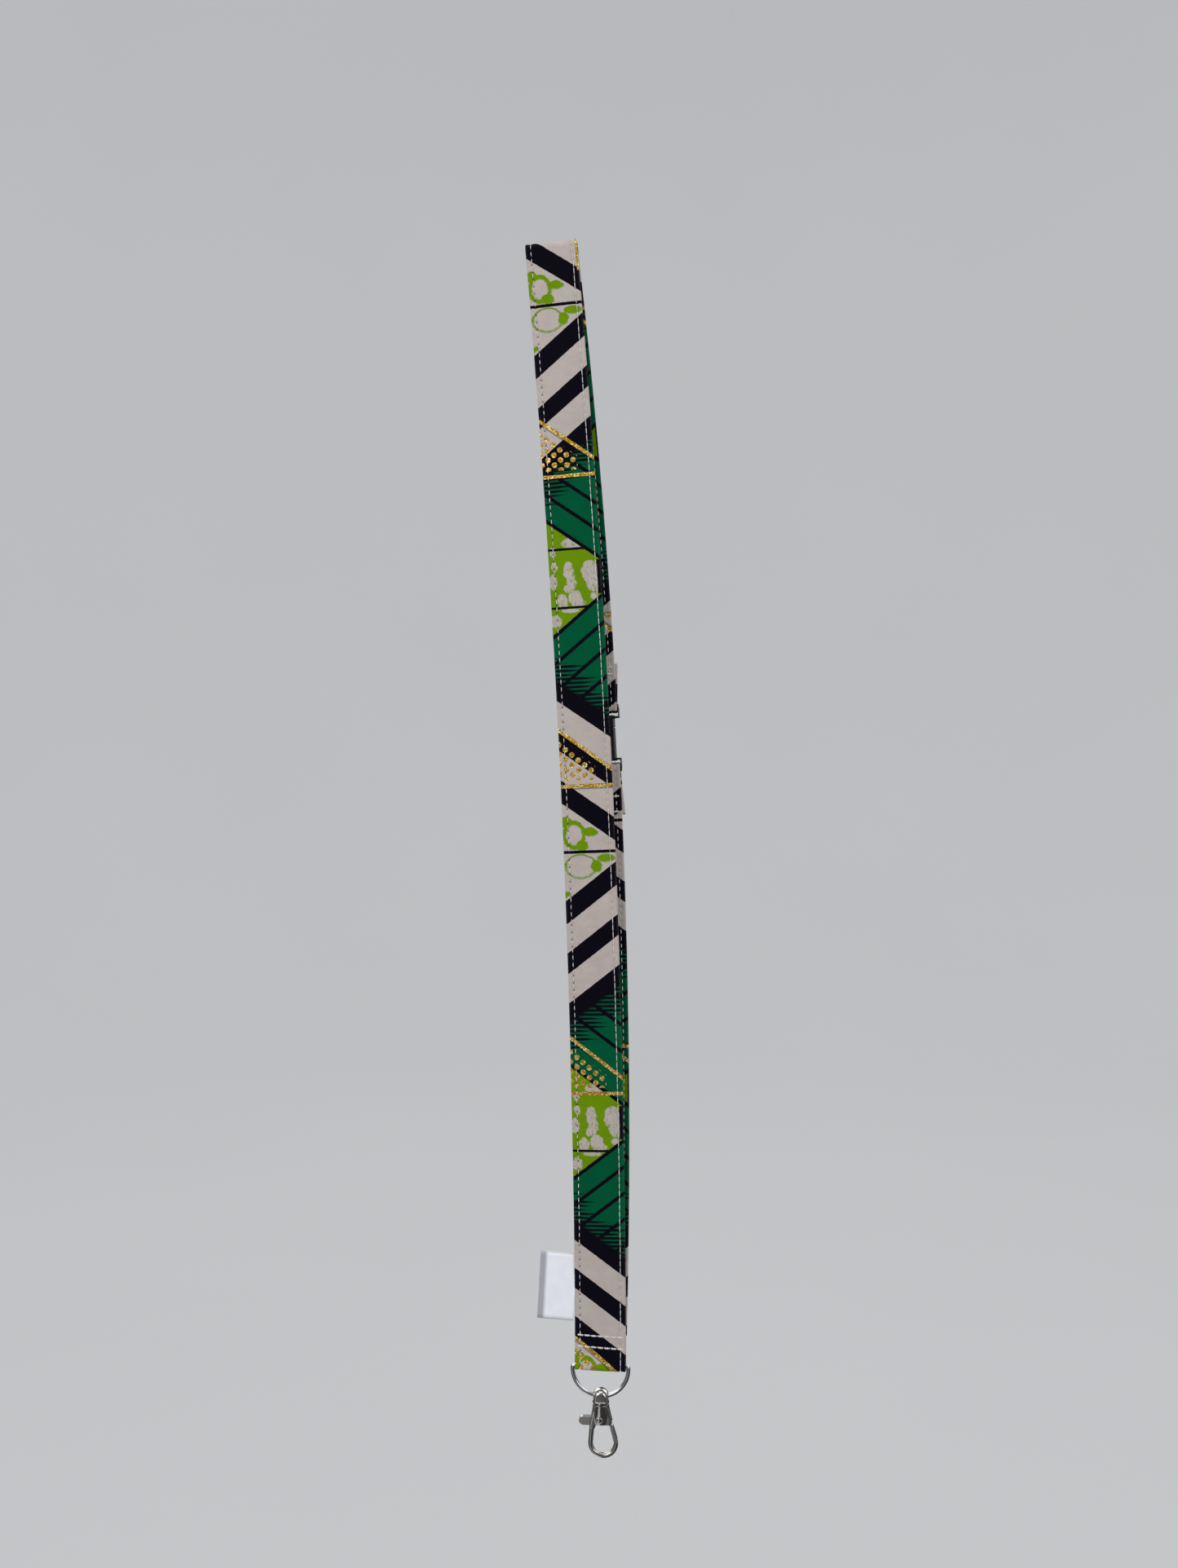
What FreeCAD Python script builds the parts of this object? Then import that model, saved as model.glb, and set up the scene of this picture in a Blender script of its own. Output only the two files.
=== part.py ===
import FreeCAD, Part
import math
import os

from FreeCAD import Vector

# Lanyard-style neck strap, in millimetres.
# The strap hangs from a round rod. The origin is the rod's centre at the middle of the top fold.
# +X runs along the rod, +Y from the front run to the back run, +Z up.

# Strap
STRAP_W = 25.0            # finished width
STRAP_T = 1.4             # four folded plies of cotton with interfacing between them
CORE_W = 22.0             # interfacing strip inside the folded cotton
CORE_T = 0.5
ROD_R = 3.0               # rod that the top fold hangs over
FRONT_MID = (14.4, -272.0)    # x, z where the front run passes half way down
BACK_MID = (16.6, -240.0)     # x, z where the back run passes the buckle
BOTTOM = (16.4, -545.0)       # x, z of the bottom fold's lowest line
HALF_T = STRAP_T / 2
FOLD_R = ROD_R + HALF_T       # middle of the cloth in the top fold

# Depth (y) of the front run's middle at some heights (z), from the top fold to the ring's stitching
PINCH_Y = HALF_T + 0.05       # the two runs lie face to face at the ring's stitching
FRONT_DEPTH = [(-FOLD_R, 0.0), (-5.9, -90.0), (-6.8, -240.0), (-5.4, -400.0), (-PINCH_Y, -527.0)]

# Ring: a welded D of round wire, straight bar inside the bottom fold
WIRE_R = 1.0
RING_R = 13.7                 # middle of the wire in the half-round bow
RING_CORNER_R = 1.5
WRAP_GAP = 0.15               # cloth to bar
BAR_Z = BOTTOM[1] + STRAP_T + WRAP_GAP + WIRE_R
BOW_Z = BAR_Z - RING_CORNER_R                 # centre of the half-round bow
RING_X = BOTTOM[0]
RING_LOW_Z = BOW_Z - RING_R                   # middle of the wire at its lowest
RING_ROWS_Z = [-527.4, -533.1]                # two rows of stitching that close the ring's loop

# Safety buckle: two moulded halves, each with a bar that a strap end is sewn round
BUCKLE_Z = -235.6
BUCKLE_Y = 7.2
BUCKLE_X = BACK_MID[0] - 0.4
BUCKLE_HALF_L = 16.5
BUCKLE_W = 27.4               # over the slotted ends
BUCKLE_BODY_W = 22.6
BUCKLE_T = 5.0
BUCKLE_BAR_T = 3.0
BAR_H = 3.0                   # bar's height, seen from the front
SLOT_W = 26.0
SLOT_H = 2.8
SEAM_OFFSET = 5.4             # seam between the halves, above the buckle's middle
SEAM_GAP = 0.25
PRONG_L = 11.0
RELEASE_TRAVEL = 12.0         # the halves part by this much
BAR_OFFSET = BUCKLE_HALF_L - BAR_H / 2
LOOP_R = BAR_H / 2 + WRAP_GAP + HALF_T        # middle of the cloth round a buckle bar
UPPER_BAR_Z = BUCKLE_Z + BAR_OFFSET
LOWER_BAR_Z = BUCKLE_Z - BAR_OFFSET
UPPER_JOIN_Z = UPPER_BAR_Z + 15.5             # plies of the upper loop meet
UPPER_END_Z = UPPER_BAR_Z + 21.5              # hem of the upper loop
LOWER_JOIN_Z = LOWER_BAR_Z - 13.0
LOWER_END_Z = LOWER_BAR_Z - 22.5
UPPER_ROWS_Z = [UPPER_BAR_Z + 16.2, UPPER_BAR_Z + 19.6]
LOWER_ROWS_Z = [LOWER_BAR_Z - 13.4, LOWER_BAR_Z - 21.4]
PLY_Y = BUCKLE_Y - PINCH_Y                    # inner ply of the sewn loops, which runs on as the strap

# Thread
THREAD_W = 0.5
THREAD_T = 0.3
SEAM_INSET = 2.6              # topstitching in from each edge
SEAM_TOP_Z = -4.2             # the thread bars start under the rod and stop above the ring's loop
SEAM_LOW_Z = -515.0

# Label: a folded satin tag sewn into the left edge
LABEL_H = 33.0
LABEL_REACH = 18.0
LABEL_T = 0.7
LABEL_TOP_Z = -487.0
LABEL_TILT = 4.0              # degrees

# Swivel clasp, in its own frame: x from the swivel's axis, z down from the swivel's seam
CLASP_Z = -560.75
SEAT_GAP = 0.3                # eye's base above the body
DOME_R = 4.1
DOME_TOP = 7.1
BASE_H = 1.2
EYE_HOLE_R = 1.9
EYE_DROP = 0.14               # hole's centre below the ring's wire
# Housing's round middle, from the collar down: z, half width, half depth, x of its middle
HOUSING = [(-1.2, 4.05, 4.05, 0.0), (-4.2, 4.2, 3.2, -0.1), (-7.6, 4.7, 2.6, -0.1), (-10.4, 4.9, 2.3, -0.2)]
EYE_THICK = 6.4               # over the flats of the dome, front to back
POST_R = 1.2
POST_BORE_R = 1.28
HEAD_R = 2.0
HEAD_T = 0.8
COLLAR_H = 1.8
HEAD_ROOM_R = 2.3
SLOT_TOP = -4.2
SLOT_HALF = 1.1               # half the lever slot's width
BODY_T = 4.2
HOOK_C = (0.85, -20.0)        # centre of the hook's round
HOOK_R = 6.2                  # middle of the hook's wire
HOOK_WIRE_R = 1.2
ARM_TOP = (-4.5, -11.0)       # where the left arm leaves the body
HOOK_END_DEG = 15.0
PIVOT = (-0.75, -7.7)         # rivet
RIVET_R = 0.8
RIVET_HEAD_R = 1.35
RIVET_HEAD_T = 0.3
RIVET_SEAT_Y = 2.3            # flat seats that the rivet's heads sit on, front and back
RIVET_SEAT_R = 1.5
GATE_HALF = 0.95              # half the gate's thickness
HUB_R = 2.1
LEVER_END_X = -10.9
LEVER_Z = -8.85
LEVER_R = 2.15                # half the lever's height
NOSE = (7.0, -19.4)           # middle of the seam between gate and hook
NOSE_SLOPE_DEG = 52.0
NOSE_GAP = 0.12
SPRING_X = -3.75
SPRING_R = 0.7
SPRING_BORE_R = 0.4

FAR = 60.0                    # larger than anything across X or Y
PLAN_TOP_Z = 30.0             # the strap's bow is drawn past both folds
PLAN_LOW_Z = -580.0


# ---------------------------------------------------------------- helpers

def face_in_yz(points):
    """Face from (y, z) points."""
    corners = [Vector(0, y, z) for y, z in points]
    return Part.Face(Part.makePolygon(corners + corners[:1]))


def face_in_xz(points):
    """Face from (x, z) points."""
    corners = [Vector(x, 0, z) for x, z in points]
    return Part.Face(Part.makePolygon(corners + corners[:1]))


def across(face):
    """Extrude a YZ face along X, past both edges of the strap."""
    return face.translated(Vector(-FAR, 0, 0)).extrude(Vector(2 * FAR, 0, 0))


def thick(face, half, mid_y=0.0):
    """Extrude an XZ face along Y, half each way."""
    return face.translated(Vector(0, mid_y - half, 0)).extrude(Vector(0, 2 * half, 0))


def clean(shape):
    """Merge split faces and unwrap a lone solid."""
    shape = shape.removeSplitter()
    if len(shape.Solids) == 1:
        return shape.Solids[0]
    return Part.makeCompound(shape.Solids)


def joined(shapes):
    """Fuse overlapping solids."""
    return clean(shapes[0].multiFuse(shapes[1:]))


def rounded(shape, radius, wanted):
    """Fillet the edges that wanted() picks, one radius, or leave the shape as it is."""
    edges = [edge for edge in shape.Edges if wanted(edge)]
    try:
        result = shape.makeFillet(radius, edges)
        if result.isValid() and len(result.Solids) == 1:
            return result.Solids[0]
    except Part.OCCError:
        pass
    print("left sharp:", len(edges), "edges, radius", radius)
    return shape


def middle(edge):
    """A point half way along an edge."""
    return edge.valueAt((edge.FirstParameter + edge.LastParameter) / 2)


def circle_through(mid):
    """Centre and radius, in XZ, of the arc from the origin through mid to the bottom."""
    arc = Part.Arc(Vector(0, 0, 0), Vector(mid[0], 0, mid[1]), Vector(BOTTOM[0], 0, BOTTOM[1]))
    circle = arc.toShape().Curve
    return circle.Center, circle.Radius


def centre_x(mid, z):
    """x of the strap's middle at a height."""
    centre, radius = circle_through(mid)
    return centre.x + math.sqrt(radius ** 2 - (z - centre.z) ** 2)


def plan(mid, width, offset=0.0):
    """Everything within a band that follows the strap's bow, seen from the front."""
    centre, radius = circle_through(mid)
    rails = []
    for r in (radius + offset - width / 2, radius + offset + width / 2):
        points = []
        for z in (PLAN_TOP_Z, mid[1], PLAN_LOW_Z):
            turn = math.asin((z - centre.z) / radius)
            points.append(Vector(centre.x + r * math.cos(turn), -FAR, centre.z + r * math.sin(turn)))
        rails.append(points)
    inner, outer = rails
    outline = Part.Wire([
        Part.Arc(*inner).toShape(),
        Part.LineSegment(inner[2], outer[2]).toShape(),
        Part.Arc(*outer[::-1]).toShape(),
        Part.LineSegment(outer[0], inner[0]).toShape(),
    ])
    return Part.Face(outline).extrude(Vector(0, 2 * FAR, 0))


def band(points, width):
    """YZ face of constant width along a line of (y, z) points, mitred at the bends."""
    left = []
    right = []
    for index, (y, z) in enumerate(points):
        before = points[max(index - 1, 0)]
        after = points[min(index + 1, len(points) - 1)]
        run = Vector(0, after[0] - before[0], after[1] - before[1]).normalize()
        left.append((y - run.z * width / 2, z + run.y * width / 2))
        right.append((y + run.z * width / 2, z - run.y * width / 2))
    return face_in_yz(left + right[::-1])


def half_ring(y, z, radius, width, upward):
    """Half a tube round an X axis, above or below its centre."""
    base = Vector(-FAR, y, z)
    outer = Part.makeCylinder(radius + width / 2, 2 * FAR, base, Vector(1, 0, 0))
    inner = Part.makeCylinder(radius - width / 2, 2 * FAR, base, Vector(1, 0, 0))
    low = z if upward else z - FAR
    return outer.cut(inner).common(Part.makeBox(2 * FAR, FAR, FAR, Vector(-FAR, y - FAR / 2, low)))


def cover_and_core(shape_of, mid):
    """Folded cotton as a flat sleeve and the interfacing strip that fills it."""
    core = clean(shape_of(CORE_T).common(plan(mid, CORE_W)))
    cover = clean(shape_of(STRAP_T).common(plan(mid, STRAP_W)).cut(core))
    return cover, core


# ---------------------------------------------------------------- strap

BACK_UPPER_DEPTH = [(FOLD_R, 0.0), (5.6, -90.0), (PLY_Y, UPPER_END_Z + 4.0), (PLY_Y, UPPER_END_Z)]
RUN_START_Z = LOWER_END_Z - RELEASE_TRAVEL - 0.5
BACK_LOWER_DEPTH = [(PLY_Y, RUN_START_Z), (5.6, -400.0), (PINCH_Y, -527.0)]


def front_run(t):
    return across(band(FRONT_DEPTH, t))


def top_fold(t):
    return half_ring(0, 0, FOLD_R, t, True)


def back_upper(t):
    return across(band(BACK_UPPER_DEPTH, t))


def back_lower(t):
    return across(band(BACK_LOWER_DEPTH, t))


def bottom_fold(t):
    """The loop that holds the ring's bar: two plies sewn together above it, open round the bar."""
    pieces = [half_ring(0, BAR_Z, WIRE_R + WRAP_GAP + HALF_T, t, False)]
    wrap = WIRE_R + WRAP_GAP + HALF_T
    for side in (-1, 1):
        ply = [(side * PINCH_Y, -527.0), (side * PINCH_Y, -536.0), (side * wrap, BAR_Z)]
        pieces.append(across(band(ply, t)))
    return joined(pieces)


def end_loop(bar_z, join_z, end_z, upward):
    """A strap end folded round a buckle bar, its two plies sewn together beyond the bar."""
    pieces = [half_ring(BUCKLE_Y, bar_z, LOOP_R, STRAP_T, not upward)]
    for side in (-1, 1):
        ply = [
            (BUCKLE_Y + side * LOOP_R, bar_z),
            (BUCKLE_Y + side * PINCH_Y, join_z),
            (BUCKLE_Y + side * PINCH_Y, end_z + (1.0 if upward else -1.0)),
        ]
        pieces.append(across(band(ply, STRAP_T)))
    loop = with_buckle(joined(pieces)).common(plan(BACK_MID, STRAP_W))
    low = -FAR + end_z if upward else end_z
    return clean(loop.common(Part.makeBox(3 * FAR, 2 * FAR, FAR, Vector(-FAR, -FAR, low))))


def with_buckle(shape):
    """Turn a shape with the buckle, which lies in line with the leaning strap."""
    lean = centre_x(BACK_MID, UPPER_BAR_Z) - centre_x(BACK_MID, LOWER_BAR_Z)
    angle = math.degrees(math.atan2(lean, 2 * BAR_OFFSET))
    turned = shape.copy()
    turned.rotate(Vector(BUCKLE_X, BUCKLE_Y, BUCKLE_Z), Vector(0, 1, 0), angle)
    return turned


def label():
    """Folded tag that stands out of the front run's left edge."""
    z_mid = LABEL_TOP_Z - LABEL_H / 2
    y = band_depth(FRONT_DEPTH, z_mid)
    edge_x = centre_x(FRONT_MID, z_mid) - STRAP_W / 2
    block = Part.makeBox(LABEL_REACH + 2, LABEL_T, LABEL_H,
                         Vector(edge_x - LABEL_REACH, y - LABEL_T / 2, LABEL_TOP_Z - LABEL_H))
    block.rotate(Vector(edge_x, y, z_mid), Vector(0, 1, 0), LABEL_TILT)
    return clean(block.cut(plan(FRONT_MID, STRAP_W + 0.02)))


def band_depth(points, z):
    """y of a run's middle at a height."""
    for (y0, z0), (y1, z1) in zip(points, points[1:]):
        if z1 <= z <= z0:
            return y0 + (y1 - y0) * (z - z0) / (z1 - z0)
    return points[-1][0]


# ---------------------------------------------------------------- thread

def topstitch(side):
    """Thread lines along one edge, on both faces of the front run and of the upper back run."""
    runs = [(FRONT_DEPTH, FRONT_MID), (BACK_UPPER_DEPTH, BACK_MID)]
    stretch = Part.makeBox(3 * FAR, 2 * FAR, SEAM_TOP_Z - SEAM_LOW_Z, Vector(-FAR, -FAR, SEAM_LOW_Z))
    lines = []
    for depth, mid in runs:
        lane = plan(mid, THREAD_W, side * (STRAP_W / 2 - SEAM_INSET))
        for face in (-1, 1):
            shift = face * (HALF_T + THREAD_T / 2 + 0.06)
            moved = [(y + shift, z) for y, z in depth]
            lines.append(clean(across(band(moved, THREAD_T)).common(lane).common(stretch)))
    return Part.makeCompound(lines)


def stitch_rows(rows, mid_y, mid):
    """Straight rows of thread across the strap, front and back of a doubled ply."""
    face_y = 2 * HALF_T + PINCH_Y - HALF_T + 0.02
    bars = []
    for z in rows:
        x = centre_x(mid, z)
        for face in (-1, 1):
            near = face_y if face > 0 else -face_y - THREAD_T
            corner = Vector(x - STRAP_W / 2 + 1.0, mid_y + near, z - THREAD_W / 2)
            bars.append(Part.makeBox(STRAP_W - 2.0, THREAD_T, THREAD_W, corner))
    return Part.makeCompound(bars)


# ---------------------------------------------------------------- buckle

def buckle_end(bar_z, inward):
    """Slotted end of a buckle half: two cheeks and a round-edged bar. inward is -1 for the upper."""
    low = bar_z - BAR_H / 2 if inward > 0 else bar_z + BAR_H / 2 - BAR_H - SLOT_H - 1.0
    height = BAR_H + SLOT_H + 1.0
    block = Part.makeBox(BUCKLE_W, BUCKLE_T, height,
                         Vector(BUCKLE_X - BUCKLE_W / 2, BUCKLE_Y - BUCKLE_T / 2, low))
    block = rounded(block, 2.2, lambda e: abs(middle(e).z - bar_z) < BAR_H
                    and abs(middle(e).x - BUCKLE_X) > BUCKLE_W / 2 - 0.1 and is_along(e, "Y"))
    block = rounded(block, 1.2, lambda e: abs(abs(middle(e).y - BUCKLE_Y) - BUCKLE_T / 2) < 0.01
                    and not (is_along(e, "X") and abs(middle(e).z - bar_z) > BAR_H))
    slot_low = bar_z + BAR_H / 2 if inward > 0 else bar_z - BAR_H / 2 - SLOT_H
    slot = Part.makeBox(SLOT_W, 2 * FAR, SLOT_H, Vector(BUCKLE_X - SLOT_W / 2, -FAR, slot_low))
    bar_room = Part.makeBox(SLOT_W, 2 * FAR, BAR_H + 1.0,
                            Vector(BUCKLE_X - SLOT_W / 2, -FAR, slot_low + SLOT_H - 0.01
                                   if inward < 0 else slot_low - BAR_H - 1.0 + 0.01))
    bar = Part.makeCylinder(BUCKLE_BAR_T / 2, SLOT_W + 1.0,
                            Vector(BUCKLE_X - SLOT_W / 2 - 0.5, BUCKLE_Y, bar_z), Vector(1, 0, 0))
    return block.cut(slot).cut(bar_room).fuse(bar)


def is_along(edge, axis):
    """True for a straight edge along the named axis."""
    run = edge.Vertexes[-1].Point - edge.Vertexes[0].Point
    if run.Length < 1e-6:
        return False
    run.normalize()
    return abs(getattr(run, axis.lower())) > 0.99


def buckle_block(low, high, width):
    """Moulded middle of a buckle half, its long edges softened."""
    block = Part.makeBox(width, BUCKLE_T, high - low,
                         Vector(BUCKLE_X - width / 2, BUCKLE_Y - BUCKLE_T / 2, low))
    return rounded(block, 1.3, lambda e: is_along(e, "Z"))


def prongs(grow=0.0):
    """Three flat tongues of the plug half."""
    top = BUCKLE_Z + SEAM_OFFSET + 1.0
    tongues = []
    for x, width in ((-8.2, 4.0), (0.0, 5.6), (8.2, 4.0)):
        corner = Vector(BUCKLE_X + x - width / 2 - grow, BUCKLE_Y - 1.0 - grow,
                        top - 1.0 - PRONG_L - grow)
        box = Part.makeBox(width + 2 * grow, 2.0 + 2 * grow, PRONG_L + 1.0 + grow, corner)
        tongues.append(box)
    return tongues


def buckle_plug():
    low = BUCKLE_Z + SEAM_OFFSET
    high = UPPER_BAR_Z - BAR_H / 2 - SLOT_H
    body = buckle_block(low, high + 0.5, BUCKLE_BODY_W)
    return with_buckle(joined([body, buckle_end(UPPER_BAR_Z, -1)] + prongs()))


def buckle_socket():
    low = LOWER_BAR_Z + BAR_H / 2 + SLOT_H
    high = BUCKLE_Z + SEAM_OFFSET - SEAM_GAP
    body = buckle_block(low - 0.5, high, BUCKLE_BODY_W)
    body = joined([body, buckle_end(LOWER_BAR_Z, 1)])
    for room in prongs(0.25):
        body = body.cut(room)
    return with_buckle(clean(body))


# ---------------------------------------------------------------- ring

def d_ring():
    side_x = RING_R
    corner_x = RING_R - RING_CORNER_R
    diag = RING_CORNER_R * math.sqrt(0.5)
    corner_z = BAR_Z - RING_CORNER_R

    def at(x, z):
        return Vector(RING_X + x, 0, z)

    edges = [
        Part.LineSegment(at(-corner_x, BAR_Z), at(corner_x, BAR_Z)).toShape(),
        Part.Arc(at(corner_x, BAR_Z), at(corner_x + diag, corner_z + diag), at(side_x, corner_z)).toShape(),
        Part.Arc(at(side_x, corner_z), at(0, corner_z - RING_R), at(-side_x, corner_z)).toShape(),
        Part.Arc(at(-side_x, corner_z), at(-corner_x - diag, corner_z + diag),
                 at(-corner_x, BAR_Z)).toShape(),
    ]
    path = Part.Wire(edges)
    section = Part.Wire([Part.Circle(at(-corner_x, BAR_Z), Vector(1, 0, 0), WIRE_R).toShape()])
    return clean(Part.Shape(path.makePipeShell([section], True, True)))


# ---------------------------------------------------------------- clasp

def place(shape):
    """Move a clasp piece from its own frame to its place under the ring."""
    return shape.translated(Vector(RING_X, 0, CLASP_Z))


def cylinder_y(radius, half, x, z):
    return Part.makeCylinder(radius, 2 * half, Vector(x, -half, z), Vector(0, 1, 0))


def cylinder_z(radius, low, high):
    return Part.makeCylinder(radius, high - low, Vector(0, 0, low))


def swivel_eye():
    """Domed eye that the ring passes through, with the post and head that the clasp turns on."""
    round_z = DOME_TOP - DOME_R
    dome = joined([cylinder_z(DOME_R, SEAT_GAP, round_z), Part.makeSphere(DOME_R, Vector(0, 0, round_z))])
    for side in (-1, 1):
        corner = Vector(-FAR / 2, -FAR / 2 + side * (FAR / 2 + EYE_THICK / 2), SEAT_GAP + BASE_H)
        dome = dome.cut(Part.makeBox(FAR, FAR, FAR, corner))
    dome = dome.cut(Part.makeBox(FAR, FAR, FAR, Vector(-FAR / 2, -FAR / 2, SEAT_GAP - FAR)))
    hole_z = RING_LOW_Z - CLASP_Z - EYE_DROP
    hole = Part.makeCylinder(EYE_HOLE_R, 4 * DOME_R, Vector(-2 * DOME_R, 0, hole_z), Vector(1, 0, 0))
    post = cylinder_z(POST_R, -COLLAR_H - 0.2, SEAT_GAP + 0.1)
    head = cylinder_z(HEAD_R, -COLLAR_H - 0.15 - HEAD_T, -COLLAR_H - 0.15)
    return joined([dome.cut(hole), post, head])


def body_shell():
    """Housing: a round collar that flattens downward between two flanges, and the arm's shoulder."""
    outline = [(-3.9, -1.0), (3.7, -1.0), (4.9, -6.5), (5.6, -9.2), (4.4, -10.6), (-2.4, -10.6),
               (-3.3, -12.6), (-5.9, -12.4), (-5.5, -9.5), (-4.8, -6.0)]
    half_t = BODY_T / 2
    plate = thick(face_in_xz(outline), half_t)
    plate = rounded(plate, 0.8, lambda e: abs(abs(middle(e).y) - half_t) < 0.01)
    sections = []
    for z, half_w, half_d, x in HOUSING:
        ellipse = Part.Ellipse(Vector(x, 0, z), half_w, half_d) if half_w > half_d else \
            Part.Circle(Vector(x, 0, z), Vector(0, 0, 1), half_w)
        sections.append(Part.Wire([ellipse.toShape()]))
    bulge = Part.makeLoft(sections, True)
    return joined([plate, bulge, cylinder_z(DOME_R, -1.4, 0)])


def hook_path():
    """Middle line of the hook: down the left arm, round the bowl, up to the nose."""
    cx, cz = HOOK_C
    dx = ARM_TOP[0] - cx
    dz = ARM_TOP[1] - cz
    reach = math.hypot(dx, dz)
    start = math.atan2(dz, dx) + math.acos(HOOK_R / reach)
    end = 2 * math.pi + math.radians(HOOK_END_DEG)

    def on_circle(angle):
        return Vector(cx + HOOK_R * math.cos(angle), 0, cz + HOOK_R * math.sin(angle))

    arm = Part.LineSegment(Vector(ARM_TOP[0], 0, ARM_TOP[1]), on_circle(start)).toShape()
    bowl = Part.Arc(on_circle(start), on_circle((start + end) / 2), on_circle(end)).toShape()
    return Part.Wire([arm, bowl])


def nose_cut(shift, reach):
    """Everything above the sloping seam where gate and hook meet, out to a distance from it."""
    slope = math.radians(NOSE_SLOPE_DEG)
    run = Vector(math.cos(slope), 0, math.sin(slope))
    off = Vector(-run.z, 0, run.x) * shift
    foot = Vector(NOSE[0], 0, NOSE[1]) + off - run * 6
    tip = foot + run * 12
    side = Vector(-run.z, 0, run.x) * reach
    corners = [foot, tip, tip + side, foot + side]
    return thick(Part.Face(Part.makePolygon(corners + corners[:1])), FAR)


def clasp_body():
    path = hook_path()
    start = Vector(ARM_TOP[0], 0, ARM_TOP[1])
    run = path.Edges[0].tangentAt(path.Edges[0].FirstParameter)
    section = Part.Wire([Part.Circle(start, run, HOOK_WIRE_R).toShape()])
    hook = Part.Shape(path.makePipeShell([section], True, True)).cut(nose_cut(0, 7))
    body = joined([body_shell(), hook])
    lever_slot = thick(face_in_xz([(-9, SLOT_TOP), (9, SLOT_TOP), (9, -13), (-2.6, -13), (-2.6, -11.3),
                                   (-9, -11.3)]), SLOT_HALF)
    body = body.cut(lever_slot)
    body = body.cut(cylinder_z(POST_BORE_R, -COLLAR_H, 1))
    body = body.cut(cylinder_z(HEAD_ROOM_R, SLOT_TOP, -COLLAR_H))
    for y in (-RIVET_SEAT_Y - DOME_R, RIVET_SEAT_Y):
        body = body.cut(Part.makeCylinder(RIVET_SEAT_R, DOME_R, Vector(PIVOT[0], y, PIVOT[1]), Vector(0, 1, 0)))
    return clean(body.cut(cylinder_y(RIVET_R + 0.02, FAR, *PIVOT)))


def gate_lever():
    """One stamping: thumb lever on the left, hub on the rivet, gate on the right."""
    hub = cylinder_y(HUB_R, GATE_HALF, *PIVOT)
    lever_low = LEVER_Z - LEVER_R
    lever = thick(face_in_xz([(LEVER_END_X + LEVER_R, lever_low), (PIVOT[0], lever_low),
                              (PIVOT[0], LEVER_Z + LEVER_R), (LEVER_END_X + LEVER_R, LEVER_Z + LEVER_R)]),
                  GATE_HALF)
    lever_end = cylinder_y(LEVER_R, GATE_HALF, LEVER_END_X + LEVER_R, LEVER_Z)
    arm = thick(face_in_xz([PIVOT, (PIVOT[0], -5.8), (4.3, -7.6), (5.35, -8.9), (8.4, -19.4), (6.6, -21.4),
                            (3.9, -10.3), (2.5, -9.8)]), GATE_HALF)
    gate = joined([hub, lever, lever_end, arm.common(nose_cut(NOSE_GAP, 12))])
    return clean(gate.cut(cylinder_y(RIVET_R + 0.06, FAR, *PIVOT)))


def gate_rivet():
    shank = cylinder_y(RIVET_R, RIVET_SEAT_Y + RIVET_HEAD_T, *PIVOT)
    heads = []
    for y in (-RIVET_SEAT_Y - RIVET_HEAD_T, RIVET_SEAT_Y + 0.01):
        heads.append(Part.makeCylinder(RIVET_HEAD_R, RIVET_HEAD_T - 0.01, Vector(PIVOT[0], y, PIVOT[1]),
                                       Vector(0, 1, 0)))
    return joined([shank] + heads)


def gate_spring():
    """Short coil between the slot's roof and the lever, as a tube of its outer size."""
    low = LEVER_Z + LEVER_R + 0.05
    outer = Part.makeCylinder(SPRING_R, SLOT_TOP - 0.05 - low, Vector(SPRING_X, 0, low))
    inner = Part.makeCylinder(SPRING_BORE_R, SLOT_TOP - 0.05 - low, Vector(SPRING_X, 0, low))
    return outer.cut(inner)


# ---------------------------------------------------------------- write

def main():
    parts = {}
    stretches = [
        ("front_run", front_run, FRONT_MID),
        ("top_fold", top_fold, FRONT_MID),
        ("back_upper_run", back_upper, BACK_MID),
        ("back_lower_run", back_lower, BACK_MID),
        ("ring_loop", bottom_fold, FRONT_MID),
    ]
    for name, shape_of, mid in stretches:
        cover, core = cover_and_core(shape_of, mid)
        parts["strap_" + name] = cover
        parts["interfacing_" + name] = core
    parts["strap_upper_end_loop"] = end_loop(UPPER_BAR_Z, UPPER_JOIN_Z, UPPER_END_Z, True)
    parts["strap_lower_end_loop"] = end_loop(LOWER_BAR_Z, LOWER_JOIN_Z, LOWER_END_Z, False)
    parts["topstitch_left"] = topstitch(-1)
    parts["topstitch_right"] = topstitch(1)
    parts["ring_loop_stitches"] = stitch_rows(RING_ROWS_Z, 0, FRONT_MID)
    parts["upper_end_stitches"] = stitch_rows(UPPER_ROWS_Z, BUCKLE_Y, BACK_MID)
    parts["lower_end_stitches"] = stitch_rows(LOWER_ROWS_Z, BUCKLE_Y, BACK_MID)
    parts["side_label"] = label()
    parts["buckle_plug"] = buckle_plug()
    parts["buckle_socket"] = buckle_socket()
    parts["d_ring"] = d_ring()
    clasp = [("swivel_eye", swivel_eye), ("clasp_body", clasp_body), ("gate_lever", gate_lever),
             ("gate_rivet", gate_rivet), ("gate_spring", gate_spring)]
    for name, make in clasp:
        parts[name] = place(make())

    os.makedirs("parts", exist_ok=True)
    for name, shape in parts.items():
        state = "valid" if shape.isValid() else "NOT VALID"
        print(name, state, len(shape.Solids), "solids, volume", round(shape.Volume, 2))
        shape.exportStep("parts/" + name + ".step")


main()
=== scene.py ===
import math

import bpy
from mathutils import Matrix, Vector, noise


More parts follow.
